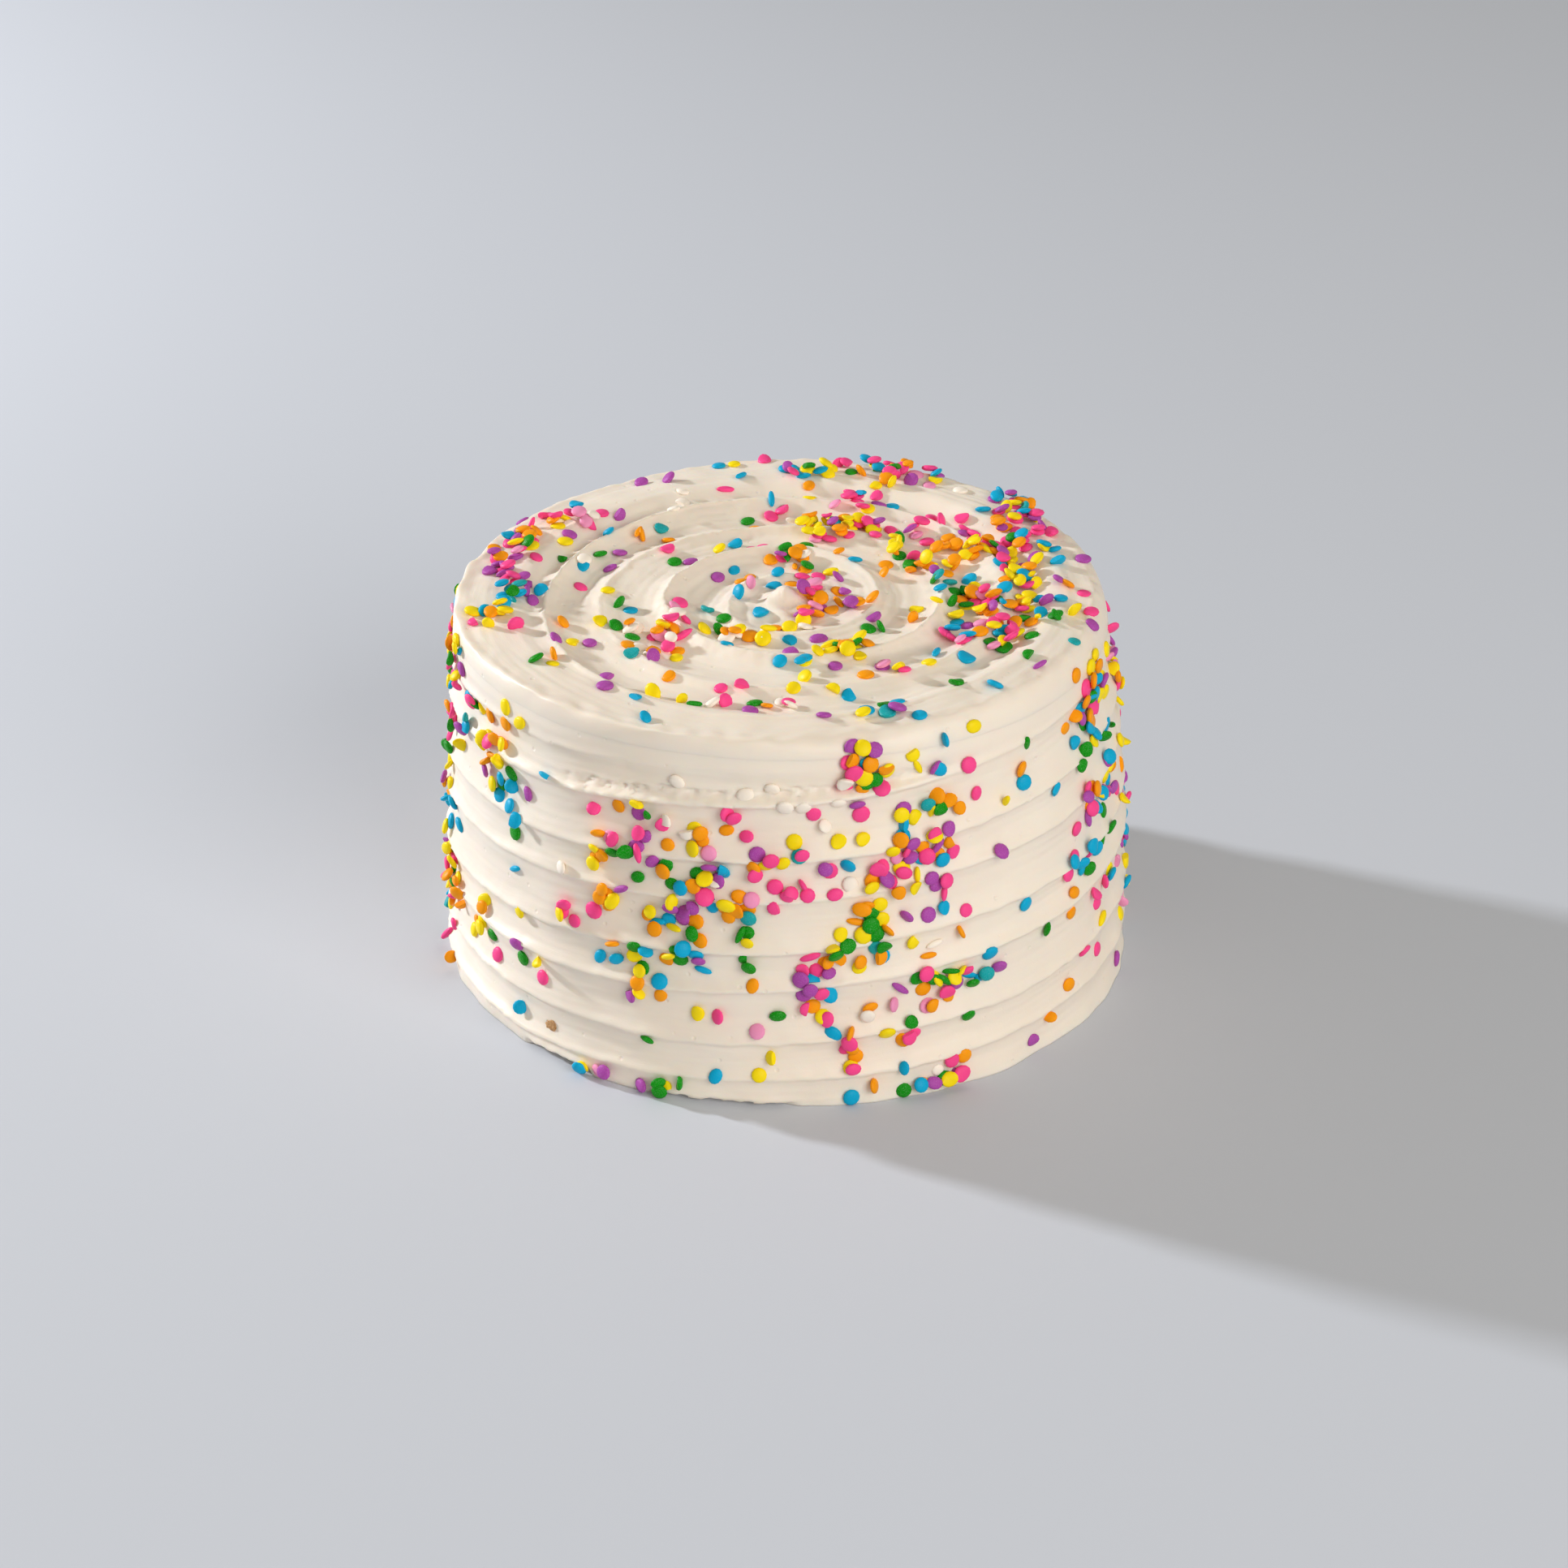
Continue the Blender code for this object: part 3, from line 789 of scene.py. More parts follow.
@dataclass
class Icing:
    """The coat of icing: the side with its bands, and the top with its swirl."""

    form: CakeForm
    finish: Buttercream
    columns: int = 512
    side_rows: int = 186
    shoulder_rows: int = 22
    plain_rows: int = 160
    line_stretch: float = 7.0
    fine_rings: float = 1.25

    def turned(self, profile: list[tuple[float, float]]) -> bpy.types.Mesh:
        """Wrap a grid round the axis so that each of its rows becomes a ring.

        Args:
            profile: The rings as distance from the axis and height.

        Returns:
            The mesh, with its seam and pole closed.
        """
        rows = len(profile) - 1
        shape = bmesh.new()
        bmesh.ops.create_grid(shape, x_segments=self.columns, y_segments=rows, size=0.5)
        for corner in shape.verts:
            angle = TURN * (corner.co.x + 0.5)
            distance, height = profile[round((corner.co.y + 0.5) * rows)]
            corner.co = (distance * math.sin(angle), -distance * math.cos(angle), height)
        bmesh.ops.remove_doubles(shape, verts=shape.verts, dist=JOINT)
        bmesh.ops.recalc_face_normals(shape, faces=shape.faces)
        return mesh_of(shape, "turned_icing")

    def reshape(self, mesh: bpy.types.Mesh, places: np.ndarray, share: np.ndarray) -> None:
        """Move a mesh's points and note how the spatula's lines run.

        Args:
            mesh: The mesh to change.
            places: A new place for each point.
            share: How far across its band or groove each point is.
        """
        mesh.vertices.foreach_set("co", places.astype(np.float32).ravel())
        stroke = mesh.attributes.new("stroke", "FLOAT_VECTOR", "POINT")
        along = places / self.line_stretch
        along[:, 2] = share * self.form.swirl.pitch
        stroke.data.foreach_set("vector", along.astype(np.float32).ravel())
        mesh.shade_smooth()
        mesh.update()

    @staticmethod
    def points(mesh: bpy.types.Mesh) -> tuple[np.ndarray, np.ndarray, np.ndarray]:
        """Read a mesh's points.

        Args:
            mesh: The mesh.

        Returns:
            Their azimuths, distances from the axis, and heights.
        """
        flat = np.empty(3 * len(mesh.vertices), np.float32)
        mesh.vertices.foreach_get("co", flat)
        x, y, z = flat.reshape(-1, 3).astype(float).T
        return np.arctan2(x, -y), np.hypot(x, y), z

    def build_side(self) -> bpy.types.Object:
        """Make the side, from the foot to the shoulder.

        Returns:
            The piece.
        """
        top = self.form.shoulder_height
        profile = [(1.0, top * row / self.side_rows) for row in range(self.side_rows + 1)]
        mesh = self.turned([(0.0, 0.0)] + profile)
        azimuth, distance, height = self.points(mesh)
        places, share = self.form.side(azimuth, height)
        places[distance < 0.5] = 0.0
        self.reshape(mesh, places, share)
        return make_piece("buttercream_side", mesh, self.finish.material(), ICING_SLOT)

    def build_top(self, material: bpy.types.Material) -> bpy.types.Object:
        """Make the top, from the shoulder to the middle.

        Args:
            material: The side's finish.

        Returns:
            The piece.
        """
        width = self.fine_rings * self.form.shoulder_width / self.form.foot_radius
        steps = np.arange(self.shoulder_rows) / self.shoulder_rows
        curved = 1.0 - width * (1.0 - np.cos(0.5 * math.pi * steps))
        plain = np.linspace(1.0 - width, 0.0, self.plain_rows)
        mesh = self.turned([(share, 1.0) for share in np.concatenate([curved, plain])])
        azimuth, share_out, _ = self.points(mesh)
        places, share = self.form.top(azimuth, np.clip(share_out, 0.0, 1.0))
        self.reshape(mesh, places, share)
        return make_piece("buttercream_top", mesh, material, ICING_SLOT)


class ConfettiShape(Enum):
    """How a disc came out of the bag: its share, and its length and width against a whole one."""

    WHOLE = (0.47, 1.0, 1.0)
    OVAL = (0.22, 1.08, 0.84)
    BENT = (0.12, 1.03, 0.94)
    CHIPPED = (0.09, 1.0, 1.0)
    HALF = (0.05, 1.05, 1.0)
    SLIVER = (0.05, 1.20, 0.42)

    def __init__(self, share: float, length: float, width: float) -> None:
        """Name the fields of a shape.

        Args:
            share: Its share of all discs.
            length: Its length against a whole disc.
            width: Its width against a whole disc.
        """
        self.share = share
        self.length = length
        self.width = width


@dataclass(frozen=True)
class Heap:
    """Confetti that fell close together.

    On the side, the place is an azimuth in degrees and a height in millimetres. On the top it is
    x and y in millimetres. The spreads are in millimetres, and a letter stands for each disc.
    """

    across: float
    along: float
    spread_across: float
    spread_along: float
    letters: str


SIDE_HEAPS = (
    Heap(-20.1, 50, 4.5, 7.5, "OVGGGVBOOVGBBOVYYPOGVGOYBVOOYG"),
    Heap(-25.5, 65, 3.2, 3, "VPVPGLVPG"),
    Heap(-24.5, 31, 2.5, 2.5, "GYYYOVB"),
    Heap(-14.5, 39.5, 3, 2, "BBVBG"),
    Heap(-9, 53, 3, 2.2, "OOOYOTB"),
    Heap(-6, 46, 1.5, 3.5, "GGYGG"),
    Heap(-12.8, 61, 3.5, 3, "BPLVWYVOB"),
    Heap(-14.5, 71, 3, 3, "OYWO"),
    Heap(-29.6, 50, 2.5, 2.5, "OOOOY"),
    Heap(-38.5, 42, 2.5, 1.5, "PPYP"),
    Heap(-31.5, 63, 1.2, 4, "OYO"),
    Heap(11.8, 92, 2.6, 3, "VGPVBPOYO"),
    Heap(12.2, 87, 2.2, 2.5, "GPOYPWGVYO"),
    Heap(18, 87.5, 4, 2, "YVYB"),
    Heap(20.5, 68.5, 3.2, 2.4, "BBOOYYPPVOYVB"),
    Heap(16.8, 60, 2.6, 3, "PPVYOYPVYOPL"),
    Heap(24.3, 58.5, 2, 4.5, "VVVPVPB"),
    Heap(26, 77, 3, 2, "GOOYTO"),
    Heap(12.2, 50, 1.8, 5, "GGTOYYOO"),
    Heap(15.6, 44, 1.6, 2.6, "OGBGO"),
    Heap(8, 41.5, 1.8, 2.6, "YGOOGYO"),
    Heap(4.6, 33.5, 2.6, 4, "PPVVOPVBBVPY"),
    Heap(24.5, 31, 4.2, 3.2, "GGOOPYVGOYPLGOVY"),
    Heap(33, 31, 2.6, 2, "PBBGBVT"),
    Heap(9.8, 15, 1, 4.5, "YOPPO"),
    Heap(20, 17, 1.6, 2, "OPP"),
    Heap(1.2, 66.5, 3.2, 2.6, "PYYTVPOYP"),
    Heap(-1.2, 57.5, 4, 1.6, "PPPPL"),
    Heap(63.5, 85.5, 4.6, 3.6, "BOVOYPVBGOYVPOBYOVGBOPOY"),
    Heap(63, 78, 3.4, 3, "BGOYOBB"),
    Heap(63.5, 58, 5, 5, "VOPPPBBYVOPB"),
    Heap(56, 46, 4, 3, "BPBPGB"),
    Heap(73, 62, 4, 8, "VYGBYPGVBOYG"),
    Heap(68, 40, 4, 6, "GPYBPG"),
    Heap(-55.5, 79, 3.6, 4.2, "YOYYYOOYYOYP"),
    Heap(-56.5, 67, 3.4, 3, "BBGGOYVOB"),
    Heap(-66, 77, 4, 4, "GBYBVPTY"),
    Heap(-76, 30, 4, 9, "OYBGOOPYPBTYOYGOPBYOPY"),
    Heap(-74, 87, 4, 4, "PPYOBYPLGVPY"),
    Heap(-80, 60, 4, 12, "YOBPGVYOBYOYPG"),
    Heap(-63.5, 23, 5, 4, "YYOGYOY"),
    Heap(-34, 2.5, 2.2, 0.6, "YBLV"),
    Heap(-20, 2.6, 2, 0.6, "YGG"),
    Heap(24, 3.2, 3.2, 1, "GOVBYWVP"),
    Heap(-4, 81, 10, 1.5, "WWWW"),
)

TOP_HEAPS = (
    Heap(-70, 13, 3, 6, "VPPVPLVVPPVPVPVOPYVPVP"),
    Heap(-67, 24, 4, 3, "OOPYBGOPVOB"),
    Heap(-70, -6, 3.2, 3, "TBBTGVBBTB"),
    Heap(-72, -17, 3, 3.5, "YYYYPYO"),
    Heap(-57, 36, 5.5, 3, "PYPOWLWYVPLPBVPP"),
    Heap(27, 67, 6.5, 5, "VYGPOPBYPPOGYVOPPYLOPVGYOPLPYOBGOPYV"),
    Heap(36, 77, 3, 2.5, "OYOYOV"),
    Heap(0, 67, 2.5, 3, "BBVBP"),
    Heap(8, 62, 3, 3.5, "YYOYBYG"),
    Heap(17, 47, 4.5, 3.5, "PPVPPBYPLP"),
    Heap(58, 45, 4, 5, "BBBYOVPOBYBOPBTYBOBPVB"),
    Heap(57, 29, 4, 5, "PVPPOVPPVPPOPVYPPBVPGP"),
    Heap(46, 21, 6, 3.5, "OYOOYOGOPYOOYPOOYOOPYOVOYO"),
    Heap(57, 8, 4, 6, "YBVYBYPVYBPYYBVOBYVYBYPOYB"),
    Heap(50, -11, 5.5, 5.5, "OPOGOYYBOVPYOBGYPOOYBVOLPYOGBOYBGOYYVBPOYG"),
    Heap(50, -24, 5, 3.5, "PPYGYPBPOLPPYGOPLYP"),
    Heap(40, -29, 3, 2.5, "PBLB"),
    Heap(38, -1, 2.5, 3.5, "GTGGTV"),
    Heap(34, 12, 3, 3, "OGOYOPY"),
    Heap(27, 21, 2.2, 4.5, "GYYOGOY"),
    Heap(15, 33, 6, 4, "YOYPPOBVYYPOPPLYOPYPPOPOYPVOPY"),
    Heap(5, 32, 2.2, 6, "YYOYYGYWYYOG"),
    Heap(0, 17, 3.5, 3, "OOGOPOGWOGOV"),
    Heap(8, -2, 5, 4, "OYOVOPOVOLOY"),
    Heap(12, -14, 5.5, 4, "VOPOVOLVOVO"),
    Heap(3, -19, 4, 3, "OWYOVPO"),
    Heap(-28, -26, 3.2, 4, "OYYOPPLOOPYPWOP"),
    Heap(-36, -26, 4, 2.5, "WWGOWW"),
    Heap(-31, -38, 3, 3, "WVOTO"),
    Heap(-12, -26, 5, 2, "WYWOYW"),
    Heap(12.5, -38, 3.5, 6, "YYOGYOYYYYOGYVYY"),
    Heap(3, -42, 3, 3, "BBVB"),
    Heap(22, -47, 4, 2, "PVOLY"),
    Heap(-6, -60, 4, 2, "WPO"),
    Heap(20, -68, 3, 2, "TB"),
    Heap(34, 29, 3, 3, "PPLPVP"),
)

# Where discs lie alone or in pairs on the near side: azimuth in degrees, height in millimetres.
SIDE_SINGLES = {
    Sugar.PINK: (
        (-32.7, 72), (-9.7, 77), (-8.6, 76), (-6.6, 71), (-5, 62), (4.1, 77), (11.9, 76), (30.7, 84),
        (32.5, 76), (27.9, 63), (-32.7, 45), (26.1, 53), (30, 47), (53, 45), (59.9, 42), (63.2, 30),
        (-10.8, 24), (-43.5, 21), (-56, 19), (3.3, 27), (6.5, 24), (10.7, 10), (19.3, 15), (27.5, 8),
        (64.4, 16), (57.8, 21), (3.2, 57), (7.5, 57), (0.4, 56), (-2, 54),
    ),
    Sugar.LIGHT_PINK: ((-4.5, 21), (17.4, 26)),
    Sugar.ORANGE: (
        (-28.3, 74), (-14, 71), (42.3, 78), (28.5, 76), (27.4, 74), (27.5, 66), (61.8, 62), (-31.5, 66),
        (-28.5, 39), (11.1, 49), (29, 42), (54.5, 39), (53.8, 34), (-5.3, 33), (-20.4, 27), (11.3, 13),
        (14.2, 5), (21, 17), (13.5, 26), (29.9, 8), (53.6, 14), (48.2, 9),
    ),
    Sugar.YELLOW: (
        (-49.1, 86), (-24.5, 77), (-15.2, 67), (18.5, 75), (12, 70), (8.1, 70), (32.1, 93), (37.9, 72),
        (-32.5, 58), (-49, 36), (13.3, 58), (15.2, 49), (14.9, 53), (20.5, 42), (-14.1, 24), (-43.5, 26),
        (-2.3, 14), (-4.1, 9), (-19.8, 5), (10.4, 17), (16.2, 19), (64.4, 25),
    ),
    Sugar.BLUE: (
        (-41.9, 76), (9.6, 64), (26.1, 92), (50.2, 69), (-49.2, 61), (-51.3, 68), (-51, 46), (-31.5, 33),
        (25.9, 49), (42.4, 43), (53.4, 48), (62.3, 46), (-20.4, 31), (-11, 8), (-49.2, 9), (7.5, 20),
        (18.9, 9), (10.6, 2),
    ),
    Sugar.PURPLE: (
        (-4.8, 67), (36.5, 60), (58.5, 62), (-47.8, 68), (26.5, 58), (23.5, 58), (19.3, 49), (-49.3, 27),
        (-23.4, 2), (44.8, 4),
    ),
    Sugar.GREEN: (
        (-23.2, 74), (43.6, 84), (25.1, 75), (58.2, 71), (-50.8, 56), (47, 34), (-1.3, 25), (-48.7, 23),
        (-22.4, 15), (-16.7, 5), (20.1, 21), (30.6, 19), (19.3, 2),
    ),
    Sugar.TEAL: ((29.4, 73), (12, 53)),
    Sugar.WHITE: (
        (-18.2, 83), (-2.6, 83), (-16.3, 71), (5.9, 74), (-38.6, 54), (10, 59), (13, 24), (24.4, 40),
    ),
}

# Where discs lie alone or in pairs on the top: x and y in millimetres.
TOP_SINGLES = {
    Sugar.PINK: (
        (-7, 75), (-17, 56), (-2, 46), (-5, 44), (36, 40), (44, 38), (44, 30), (-52, 5), (-10, 25),
        (-7, 24), (-31, 22), (-27, -8), (-16, -53), (-11, -54), (0, -61), (66, 27), (72, -7), (73, -17),
        (-66, -23), (41, 16), (-61, 36), (3, 5), (7, 6),
    ),
    Sugar.LIGHT_PINK: ((36, 56), (-10, 1), (-28, -13)),
    Sugar.ORANGE: (
        (1, 81), (-9, 38), (-31, 30), (-38, 32), (-39, 32), (-10, 9), (-12, 5), (-15, -24), (-13, -25),
        (-55, -19), (-39, -22), (-56, -39), (68, -4), (12, 17), (23, 7), (30, -19), (39, 10), (6, -6),
    ),
    Sugar.YELLOW: (
        (-15, 72), (22, 56), (-57, 26), (-18, 24), (-45, 0), (-46, -19), (-52, -28), (-56, -43), (-32, -55),
        (-25, -59), (1, -55), (10, -56), (17, -70), (33, -42), (69, -18), (31, -12), (36, -12), (11, 38),
        (0, -22), (-5, -26),
    ),
    Sugar.BLUE: (
        (-19, 72), (-13, 62), (-5, 49), (26, 47), (38, 63), (-46, 30), (-52, 14), (-14, 27), (-14, 12),
        (-3, 6), (-4, 0), (-13, -4), (-7, -13), (-15, -33), (-39, -10), (-36, -61), (-33, -70), (14, -57),
        (25, -63), (30, -70), (48, -56), (55, -60), (42, -38), (35, -36), (66, 16), (66, -11), (16, 12),
        (37, -5), (-61, -3), (0, -28),
    ),
    Sugar.PURPLE: (
        (-39, 61), (-32, 61), (-44, 41), (-43, 23), (-45, 15), (-25, 16), (-18, 8), (-56, -30), (-48, -28),
        (-43, -50), (-43, -55), (-9, -64), (8, -70), (25, -68), (59, -46), (73, 12), (66, -3), (73, -22),
        (20, -18), (-63, -8), (7, -28),
    ),
    Sugar.GREEN: (
        (-4, 79), (-11, 42), (-48, 21), (-57, 18), (-29, 16), (-16, -16), (-17, -21), (-42, -8), (-42, -21),
        (-60, -41), (-22, -62), (-8, -59), (22, -64), (39, -55), (57, -41), (58, -29), (64, -22), (19, -23),
        (22, -23),
    ),
    Sugar.TEAL: ((-33, 36), (-20, -11), (68, -32), (-69, -13)),
    Sugar.WHITE: ((-28, 54), (-28, 50), (-30, 44), (44, 54), (-52, 16), (-18, -60), (-2, -59), (-6, -24)),
}


@dataclass
class Confetti:
    """Sugar discs scattered over the icing: in the heaps that show, and alone between them."""

    form: CakeForm
    surface: BVHTree
    radius: float = 1.90 * MM
    thickness: float = 1.35 * MM
    section: tuple[tuple[float, float], ...] = (
        (0.0, 1.0), (0.62, 0.90), (0.92, 0.48), (1.0, 0.0), (0.92, -0.48), (0.62, -0.90), (0.0, -1.0)
    )
    sides: int = 12
    seed: int = 29
    hidden_singles: int = 190
    hidden_heaps: int = 36
    hidden_counts: tuple[int, ...] = (4, 5, 7, 9, 12, 16, 22)
    hidden_heights: tuple[float, float] = (12.0, 88.0)
    hidden_low: float = 3.0 * MM
    hidden_from: float = math.radians(88.0)
    singles_from: float = math.radians(73.0)
    lowest: float = 1.5 * MM
    over_shoulder: float = 3.0 * MM
    single_gap: float = 5.2 * MM
    layer_reach: float = 2.7 * MM
    layer_rise: float = 0.86

    # Some discs on the icing lie flat, some lean, and the rest stand; the tilts are in radians.
    flat_share: float = 0.62
    leaning_share: float = 0.26
    flat_tilt: float = 0.14
    leaning_tilt: tuple[float, float] = (0.25, 0.85)
    standing_tilt: tuple[float, float] = (0.85, 1.45)
    heaped_tilt: tuple[float, float] = (0.10, 0.62)
    flat_lift: float = 0.38
    ray_share: float = 0.5
    mean_size: float = 1.02
    size_spread: float = 0.075
    bend: float = 0.32
    sharp_edge: float = math.radians(50.0)
    tries: int = 40
    side_layers: int = 2
    top_layers: int = 3
    chance: random.Random = field(init=False)
    laid: list[tuple[Vector, int]] = field(init=False, default_factory=list)
    shapes: dict[Sugar, bmesh.types.BMesh] = field(init=False, default_factory=dict)
    tones: dict[Sugar, list[float]] = field(init=False, default_factory=dict)
    patterns: dict[ConfettiShape, bpy.types.Mesh] = field(init=False, default_factory=dict)

    def __post_init__(self) -> None:
        """Seed the draws, shape one disc of each kind and start a mesh for each colour."""
        self.chance = random.Random(self.seed)
        for shape in ConfettiShape:
            self.patterns[shape] = self.pattern(shape)
        for sugar in Sugar:
            self.shapes[sugar] = bmesh.new()
            self.tones[sugar] = []

    def pattern(self, shape: ConfettiShape) -> bpy.types.Mesh:
        """Shape one disc with rounded edges.

        Args:
            shape: How the disc came out.

        Returns:
            Its mesh, centred on the origin and flat on XY.
        """
        disc = bmesh.new()
        corners = [
            disc.verts.new((out * self.radius, 0.0, 0.5 * up * self.thickness)) for out, up in self.section
        ]
        edges = [disc.edges.new(pair) for pair in zip(corners, corners[1:])]
        bmesh.ops.spin(
            disc,
            geom=corners + edges,
            cent=(0.0, 0.0, 0.0),
            axis=(0.0, 0.0, 1.0),
            angle=TURN,
            steps=self.sides,
            use_merge=True,
        )
        bmesh.ops.remove_doubles(disc, verts=disc.verts, dist=JOINT)
        if shape in (ConfettiShape.CHIPPED, ConfettiShape.HALF):
            cut = 0.05 if shape is ConfettiShape.HALF else 0.55
            parts = bmesh.ops.bisect_plane(
                disc,
                geom=disc.verts[:] + disc.edges[:] + disc.faces[:],
                plane_co=(cut * self.radius, 0.0, 0.0),
                plane_no=(1.0, 0.15, 0.1),
                clear_outer=True,
            )
            gap = [part for part in parts["geom_cut"] if isinstance(part, bmesh.types.BMEdge)]
            bmesh.ops.holes_fill(disc, edges=gap)
        bmesh.ops.scale(disc, vec=(shape.length, shape.width, 1.0), verts=disc.verts)
        if shape is ConfettiShape.BENT:
            for corner in disc.verts:
                corner.co.z += self.bend * corner.co.x**2 / self.radius
        bmesh.ops.recalc_face_normals(disc, faces=disc.faces)
        return mesh_of(disc, f"{shape.name.lower()}_disc")

    def hit(self, origin: Vector, direction: Vector) -> tuple[Vector, Vector] | None:
        """Find where a falling disc meets the icing.

        Args:
            origin: Where it comes from.
            direction: Which way it goes.

        Returns:
            The spot and the way that a disc faces there, or None where it misses.
        """
        spot, normal, _, _ = self.surface.ray_cast(origin, direction)
        if spot is None:
            return None
        return spot, (normal - self.ray_share * direction).normalized()

    def side_ray(self, azimuth: float, height: float) -> tuple[Vector, Vector]:
        """Aim at the side from outside."""
        outward = Vector((math.sin(azimuth), -math.cos(azimuth), 0.0))
        return 2.0 * self.form.foot_radius * outward + Vector((0.0, 0.0, height)), -outward

    def top_ray(self, x: float, y: float) -> tuple[Vector, Vector]:
        """Aim at the top from above."""
        return Vector((x, y, 2.0 * self.form.top_height)), Vector((0.0, 0.0, -1.0))

    def layer(self, spot: Vector) -> int:
        """Say on how many discs a new one at a spot would lie."""
        under = [level for place, level in self.laid if (place - spot).length < self.layer_reach]
        return 1 + max(under) if under else 0

    def seat(self, spot: Vector, normal: Vector, level: int) -> Matrix:
        """Place a disc: sunk into the icing, standing up in it or lying on others.

        Args:
            spot: Where it meets the icing.
            normal: The way that a flat disc faces there.
            level: How many discs lie under it.

        Returns:
            The disc's transform.
        """
        draw = self.chance.random()
        if level:
            tilt = self.chance.uniform(*self.heaped_tilt)
            lift = (0.25 + self.layer_rise * level) * self.thickness
        elif draw < self.flat_share:
            tilt = abs(self.chance.gauss(0.0, self.flat_tilt))
            lift = self.chance.uniform(0.0, self.flat_lift) * self.thickness
        elif draw < self.flat_share + self.leaning_share:
            tilt = self.chance.uniform(*self.leaning_tilt)
            lift = 0.30 * self.thickness + 0.35 * self.radius * math.sin(tilt)
        else:
            tilt = self.chance.uniform(*self.standing_tilt)
            lift = 0.50 * self.radius
        turned = Matrix.Rotation(self.chance.uniform(0.0, TURN), 4, "Z")
        tilted = Matrix.Rotation(tilt, 4, "X") @ Matrix.Rotation(self.chance.uniform(0.0, TURN), 4, "Z")
        sized = Matrix.Scale(self.chance.gauss(self.mean_size, self.size_spread), 4)
        return Matrix.Translation(spot + lift * normal) @ facing(normal) @ turned @ tilted @ sized

    def add(self, sugar: Sugar, place: Matrix) -> None:
        """Add a disc to the mesh of its colour, no lower than the cake's foot.

        Args:
            sugar: Its colour.
            place: Its transform.
        """
        shapes = list(ConfettiShape)
        shape = self.chance.choices(shapes, [shape.share for shape in shapes])[0]
        disc = self.patterns[shape].copy()
        disc.transform(place)
        low = min(corner.co.z for corner in disc.vertices)
        disc.transform(Matrix.Translation((0.0, 0.0, max(0.0, -low))))
        self.shapes[sugar].from_mesh(disc)
        self.tones[sugar] += [self.chance.random()] * len(disc.vertices)
        bpy.data.meshes.remove(disc)

    def drop(self, sugar: Sugar, ray: tuple[Vector, Vector], most: int) -> bool:
        """Drop a disc.

        Args:
            sugar: Its colour.
            ray: Where it falls from, and which way.
            most: How many discs may lie on one another.

        Returns:
            Whether it found a place.
        """
        found = self.hit(*ray)
        if found is None or found[0].z < self.lowest:
            return False
        level = self.layer(found[0])
        if level < most:
            self.laid.append((found[0], level))
            self.add(sugar, self.seat(*found, level))
        return level < most

    def drop_heap(self, heap: Heap, on_side: bool) -> None:
        """Drop a heap's discs.

        Args:
            heap: The heap.
            on_side: Whether it lies on the side; otherwise it lies on the top.
        """
        sugars = {sugar.letter: sugar for sugar in Sugar}
        for letter in heap.letters:
            for _ in range(self.tries):
                across = self.chance.gauss(0.0, heap.spread_across)
                along = self.chance.gauss(heap.along, heap.spread_along)
                if on_side:
                    azimuth = math.radians(heap.across) + across * MM / self.form.foot_radius
                    ray = self.side_ray(azimuth, along * MM)
                    fits = along * MM < self.form.shoulder_height + self.over_shoulder
                    done = fits and self.drop(sugars[letter], ray, self.side_layers)
                else:
                    ray = self.top_ray((heap.across + across) * MM, along * MM)
                    done = self.drop(sugars[letter], ray, self.top_layers)
                if done:
                    break

    def drop_singles(self, rays: Iterator[tuple[Vector, Vector]], count: int) -> None:
        """Drop discs that lie alone.

        Args:
            rays: Where they may fall.
            count: How many of them there are.
        """
        sugars = list(Sugar)
        shares = [sugar.share for sugar in sugars]
        placed = 0
        for ray in rays:
            if placed == count:
                break
            found = self.hit(*ray)
            if found is None:
                continue
            if any((place - found[0]).length < self.single_gap for place, _ in self.laid):
                continue
            placed += self.drop(self.chance.choices(sugars, shares)[0], ray, 1)

    def hidden_rays(self) -> Iterator[tuple[Vector, Vector]]:
        """Aim at the side's far half.

        Returns:
            Rays at places drawn anywhere on it, for ever.
        """
        while True:
            azimuth = self.chance.uniform(self.singles_from, TURN - self.singles_from)
            yield self.side_ray(azimuth, self.chance.uniform(self.hidden_low, self.form.shoulder_height))

    def hidden_heap(self) -> Heap:
        """Draw a heap for the side's far half, like those of the near half.

        Returns:
            The heap.
        """
        azimuth = self.chance.uniform(self.hidden_from, TURN - self.hidden_from)
        height = self.chance.uniform(*self.hidden_heights)
        letters = [sugar.letter for sugar in Sugar]
        count = self.chance.choice(self.hidden_counts)
        drawn = self.chance.choices(letters, [sugar.share for sugar in Sugar], k=count)
        wide = 1.2 + 0.75 * math.sqrt(count)
        return Heap(math.degrees(azimuth), height, wide, wide, "".join(drawn))

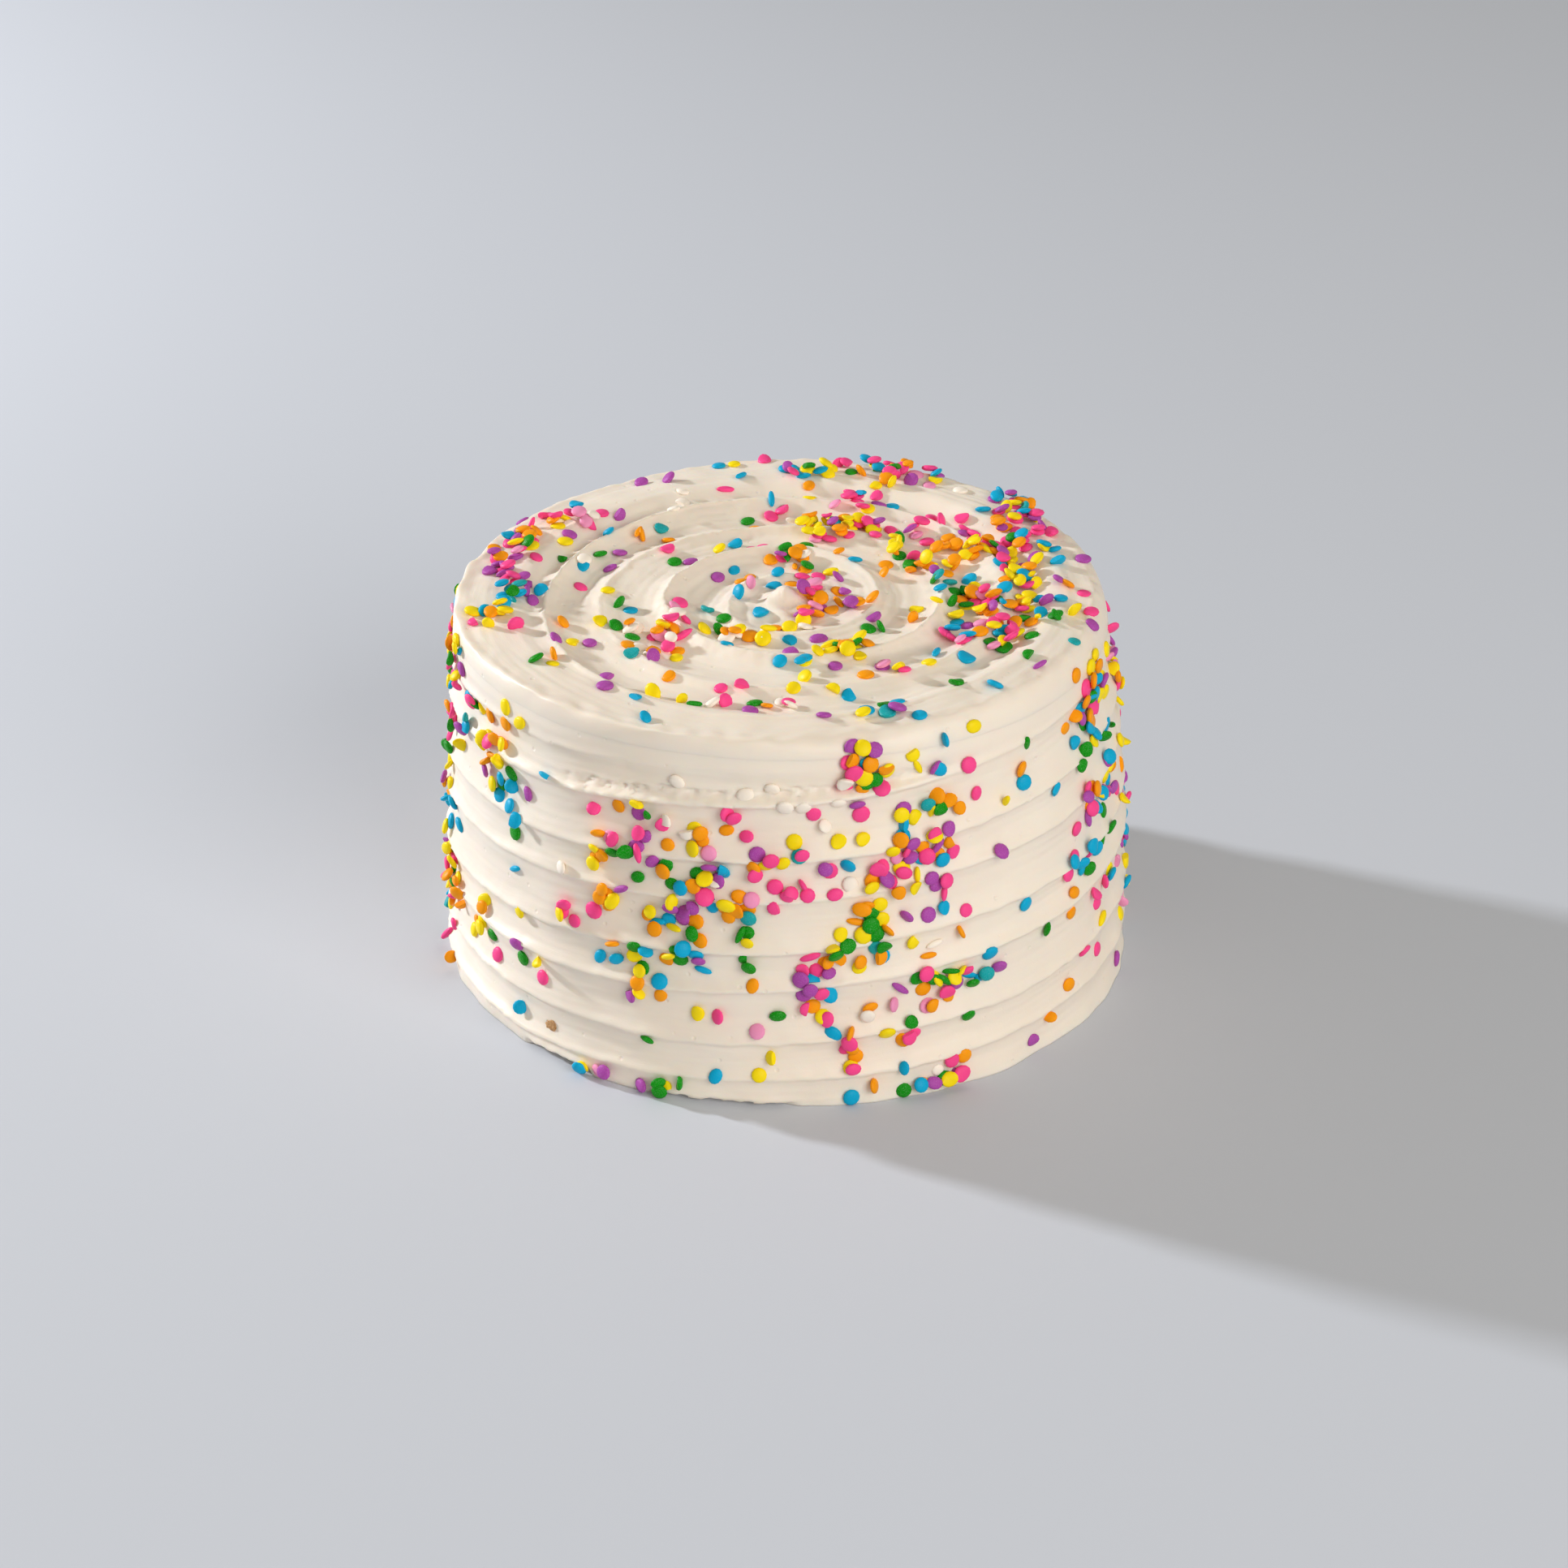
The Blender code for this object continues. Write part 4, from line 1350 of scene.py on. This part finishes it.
    def build(self) -> None:
        """Drop all discs and show them as one piece for each colour."""
        for heaps, on_side in ((SIDE_HEAPS, True), (TOP_HEAPS, False)):
            for heap in heaps:
                self.drop_heap(heap, on_side)
        for _ in range(self.hidden_heaps):
            self.drop_heap(self.hidden_heap(), True)
        for sugar, places in SIDE_SINGLES.items():
            for azimuth, height in places:
                self.drop(sugar, self.side_ray(math.radians(azimuth), height * MM), self.side_layers)
        for sugar, places in TOP_SINGLES.items():
            for x, y in places:
                self.drop(sugar, self.top_ray(x * MM, y * MM), self.top_layers)
        self.drop_singles(self.hidden_rays(), self.hidden_singles)
        for sugar, shape in self.shapes.items():
            mesh = mesh_of(shape, sugar.piece)
            tone = mesh.attributes.new("tone", "FLOAT", "POINT")
            tone.data.foreach_set("value", self.tones[sugar])
            mesh.shade_smooth()
            mesh.set_sharp_from_angle(angle=self.sharp_edge)
            make_piece(sugar.piece, mesh, PressedSugar(sugar).material(), sugar.slot)
        log.info("confetti: %d discs", len(self.laid))


@dataclass
class CrumbPatch:
    """A spot low on the front left where sponge shows through the icing."""

    surface: BVHTree
    azimuth: float = math.radians(-41.6)
    height: float = 8.3 * MM
    width: float = 3.8 * MM
    rise: float = 2.6 * MM
    thickness: float = 0.9 * MM
    reach: float = 0.2
    lumps: tuple[tuple[float, float], ...] = ((0.55, 3.2), (0.25, 9.0))

    def build(self) -> None:
        """Make the patch of crumb."""
        outward = Vector((math.sin(self.azimuth), -math.cos(self.azimuth), 0.0))
        origin = self.reach * outward + Vector((0.0, 0.0, self.height))
        spot, normal, _, _ = self.surface.ray_cast(origin, -outward)
        shape = bmesh.new()
        bmesh.ops.create_icosphere(shape, subdivisions=4, radius=0.5)
        for corner in shape.verts:
            corner.co *= sum((size * noise.noise(rate * corner.co) for size, rate in self.lumps), 1.0)
        sized = Matrix.Diagonal((self.width, self.rise, self.thickness, 1.0))
        place = Matrix.Translation(spot) @ facing(normal) @ sized
        bmesh.ops.transform(shape, matrix=place, verts=shape.verts)
        mesh = mesh_of(shape, "sponge_crumb")
        mesh.shade_smooth()
        make_piece("sponge_crumb", mesh, BakedSponge().material(), CRUMB_SLOT)


@dataclass(frozen=True)
class Lamp:
    """A soft square lamp that faces the cake: where it hangs, its side's length, its watts and its light."""

    name: str
    place: tuple[float, float, float]
    size: float
    power: float
    colour: str
    aim: tuple[float, float, float] = (0.0, 0.0, 0.05)

    def hang(self) -> None:
        """Hang the lamp."""
        light = bpy.data.lights.new(self.name, "AREA")
        light.shape = "SQUARE"
        light.size = self.size
        light.energy = self.power
        light.color = linear(self.colour)[:3]
        lamp = show(self.name, light)
        lamp.location = self.place
        towards = Vector(self.aim) - lamp.location
        lamp.rotation_euler = towards.to_track_quat("-Z", "Y").to_euler()


@dataclass(frozen=True)
class Studio:
    """The floor, the light and the camera at the photograph's view."""

    frame_pixels: float = 1932.0
    focal_pixels: float = 4500.0
    sensor: float = 36.0
    nearest: float = 0.05
    camera_place: tuple[float, float, float] = (-1.0 * MM, -821.6 * MM, 470.3 * MM)
    pitch: float = math.radians(27.53)
    roll: float = math.radians(0.58)
    floor_size: float = 12.0
    floor_colour: str = "#CACFD8"
    floor_roughness: float = 0.75
    lamps: tuple[Lamp, ...] = (
        Lamp("key_light", (-1.54, 0.69, 0.64), 0.11, 32.5, "#F8FAFF"),
        Lamp("fill_light", (1.06, -1.63, 1.05), 1.40, 30.0, "#FDFAF7"),
        Lamp("top_light", (0.15, 0.25, 1.80), 1.20, 1.5, "#FFFAF0"),
    )
    sky_colour: str = "#FFF7E8"
    sky_strength: float = 0.32

    def build_floor(self) -> None:
        """Lay a plain pale floor."""
        shape = bmesh.new()
        bmesh.ops.create_grid(shape, x_segments=1, y_segments=1, size=0.5 * self.floor_size)
        mesh = mesh_of(shape, "studio_floor")
        # Matt paint: an even pale ground without reflections, so that only the shadow shows.
        material, tree = blank_material("matt_floor_paint")
        finish = {"Base Color": linear(self.floor_colour), "Roughness": self.floor_roughness}
        surface = add_node(tree, "ShaderNodeBsdfPrincipled", finish)
        add_node(tree, "ShaderNodeOutputMaterial", links={"Surface": surface.outputs["BSDF"]})
        mesh.materials.append(material)
        floor = show("studio_floor", mesh)

    def build_lights(self) -> None:
        """Light the cake: a low key from the left, a broad fill, a weak top lamp and an even sky."""
        for lamp in self.lamps:
            lamp.hang()
        world = bpy.data.worlds.new("studio_sky")
        world.use_nodes = True
        sky = world.node_tree.nodes["Background"]
        sky.inputs["Color"].default_value = linear(self.sky_colour)
        sky.inputs["Strength"].default_value = self.sky_strength
        bpy.context.scene.world = world

    def build_camera(self) -> None:
        """Set up the camera at the photograph's viewing angle."""
        forward = Vector((0.0, math.cos(self.pitch), -math.sin(self.pitch)))
        level = Vector((1.0, 0.0, 0.0))
        upward = level.cross(forward)
        right = level * math.cos(self.roll) + upward * math.sin(self.roll)
        up = upward * math.cos(self.roll) - level * math.sin(self.roll)
        lens = bpy.data.cameras.new("camera")
        lens.sensor_width = self.sensor
        lens.lens = self.sensor * self.focal_pixels / self.frame_pixels
        lens.clip_start = self.nearest
        camera = show("camera", lens)
        camera.matrix_world = Matrix.Translation(self.camera_place) @ Matrix(
            (right, up, -forward)
        ).transposed().to_4x4()
        bpy.context.scene.camera = camera


def surface_of(pieces: list[bpy.types.Object]) -> BVHTree:
    """Gather pieces into one surface that rays can be cast at.

    Args:
        pieces: The pieces.

    Returns:
        The surface.
    """
    joined = bmesh.new()
    for piece in pieces:
        joined.from_mesh(piece.data)
    surface = BVHTree.FromBMesh(joined)
    joined.free()
    return surface


def main() -> None:
    """Build the cake's pieces in order, then the studio."""
    logging.basicConfig(level=logging.INFO, format="%(name)s: %(message)s")
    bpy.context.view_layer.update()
    form = CakeForm()
    icing = Icing(form, Buttercream())
    side = icing.build_side()
    top = icing.build_top(side.data.materials[0])
    surface = surface_of([side, top])
    Confetti(form, surface).build()
    CrumbPatch(surface).build()
    studio = Studio()
    studio.build_floor()
    studio.build_lights()
    studio.build_camera()
    bpy.context.scene.view_settings.view_transform = "Standard"


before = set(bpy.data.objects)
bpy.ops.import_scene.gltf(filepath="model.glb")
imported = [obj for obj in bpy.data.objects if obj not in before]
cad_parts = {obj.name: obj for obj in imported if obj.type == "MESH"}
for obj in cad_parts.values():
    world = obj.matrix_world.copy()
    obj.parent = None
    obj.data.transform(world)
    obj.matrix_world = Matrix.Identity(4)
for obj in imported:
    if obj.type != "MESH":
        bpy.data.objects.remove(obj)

if __name__ == "__main__":
    main()
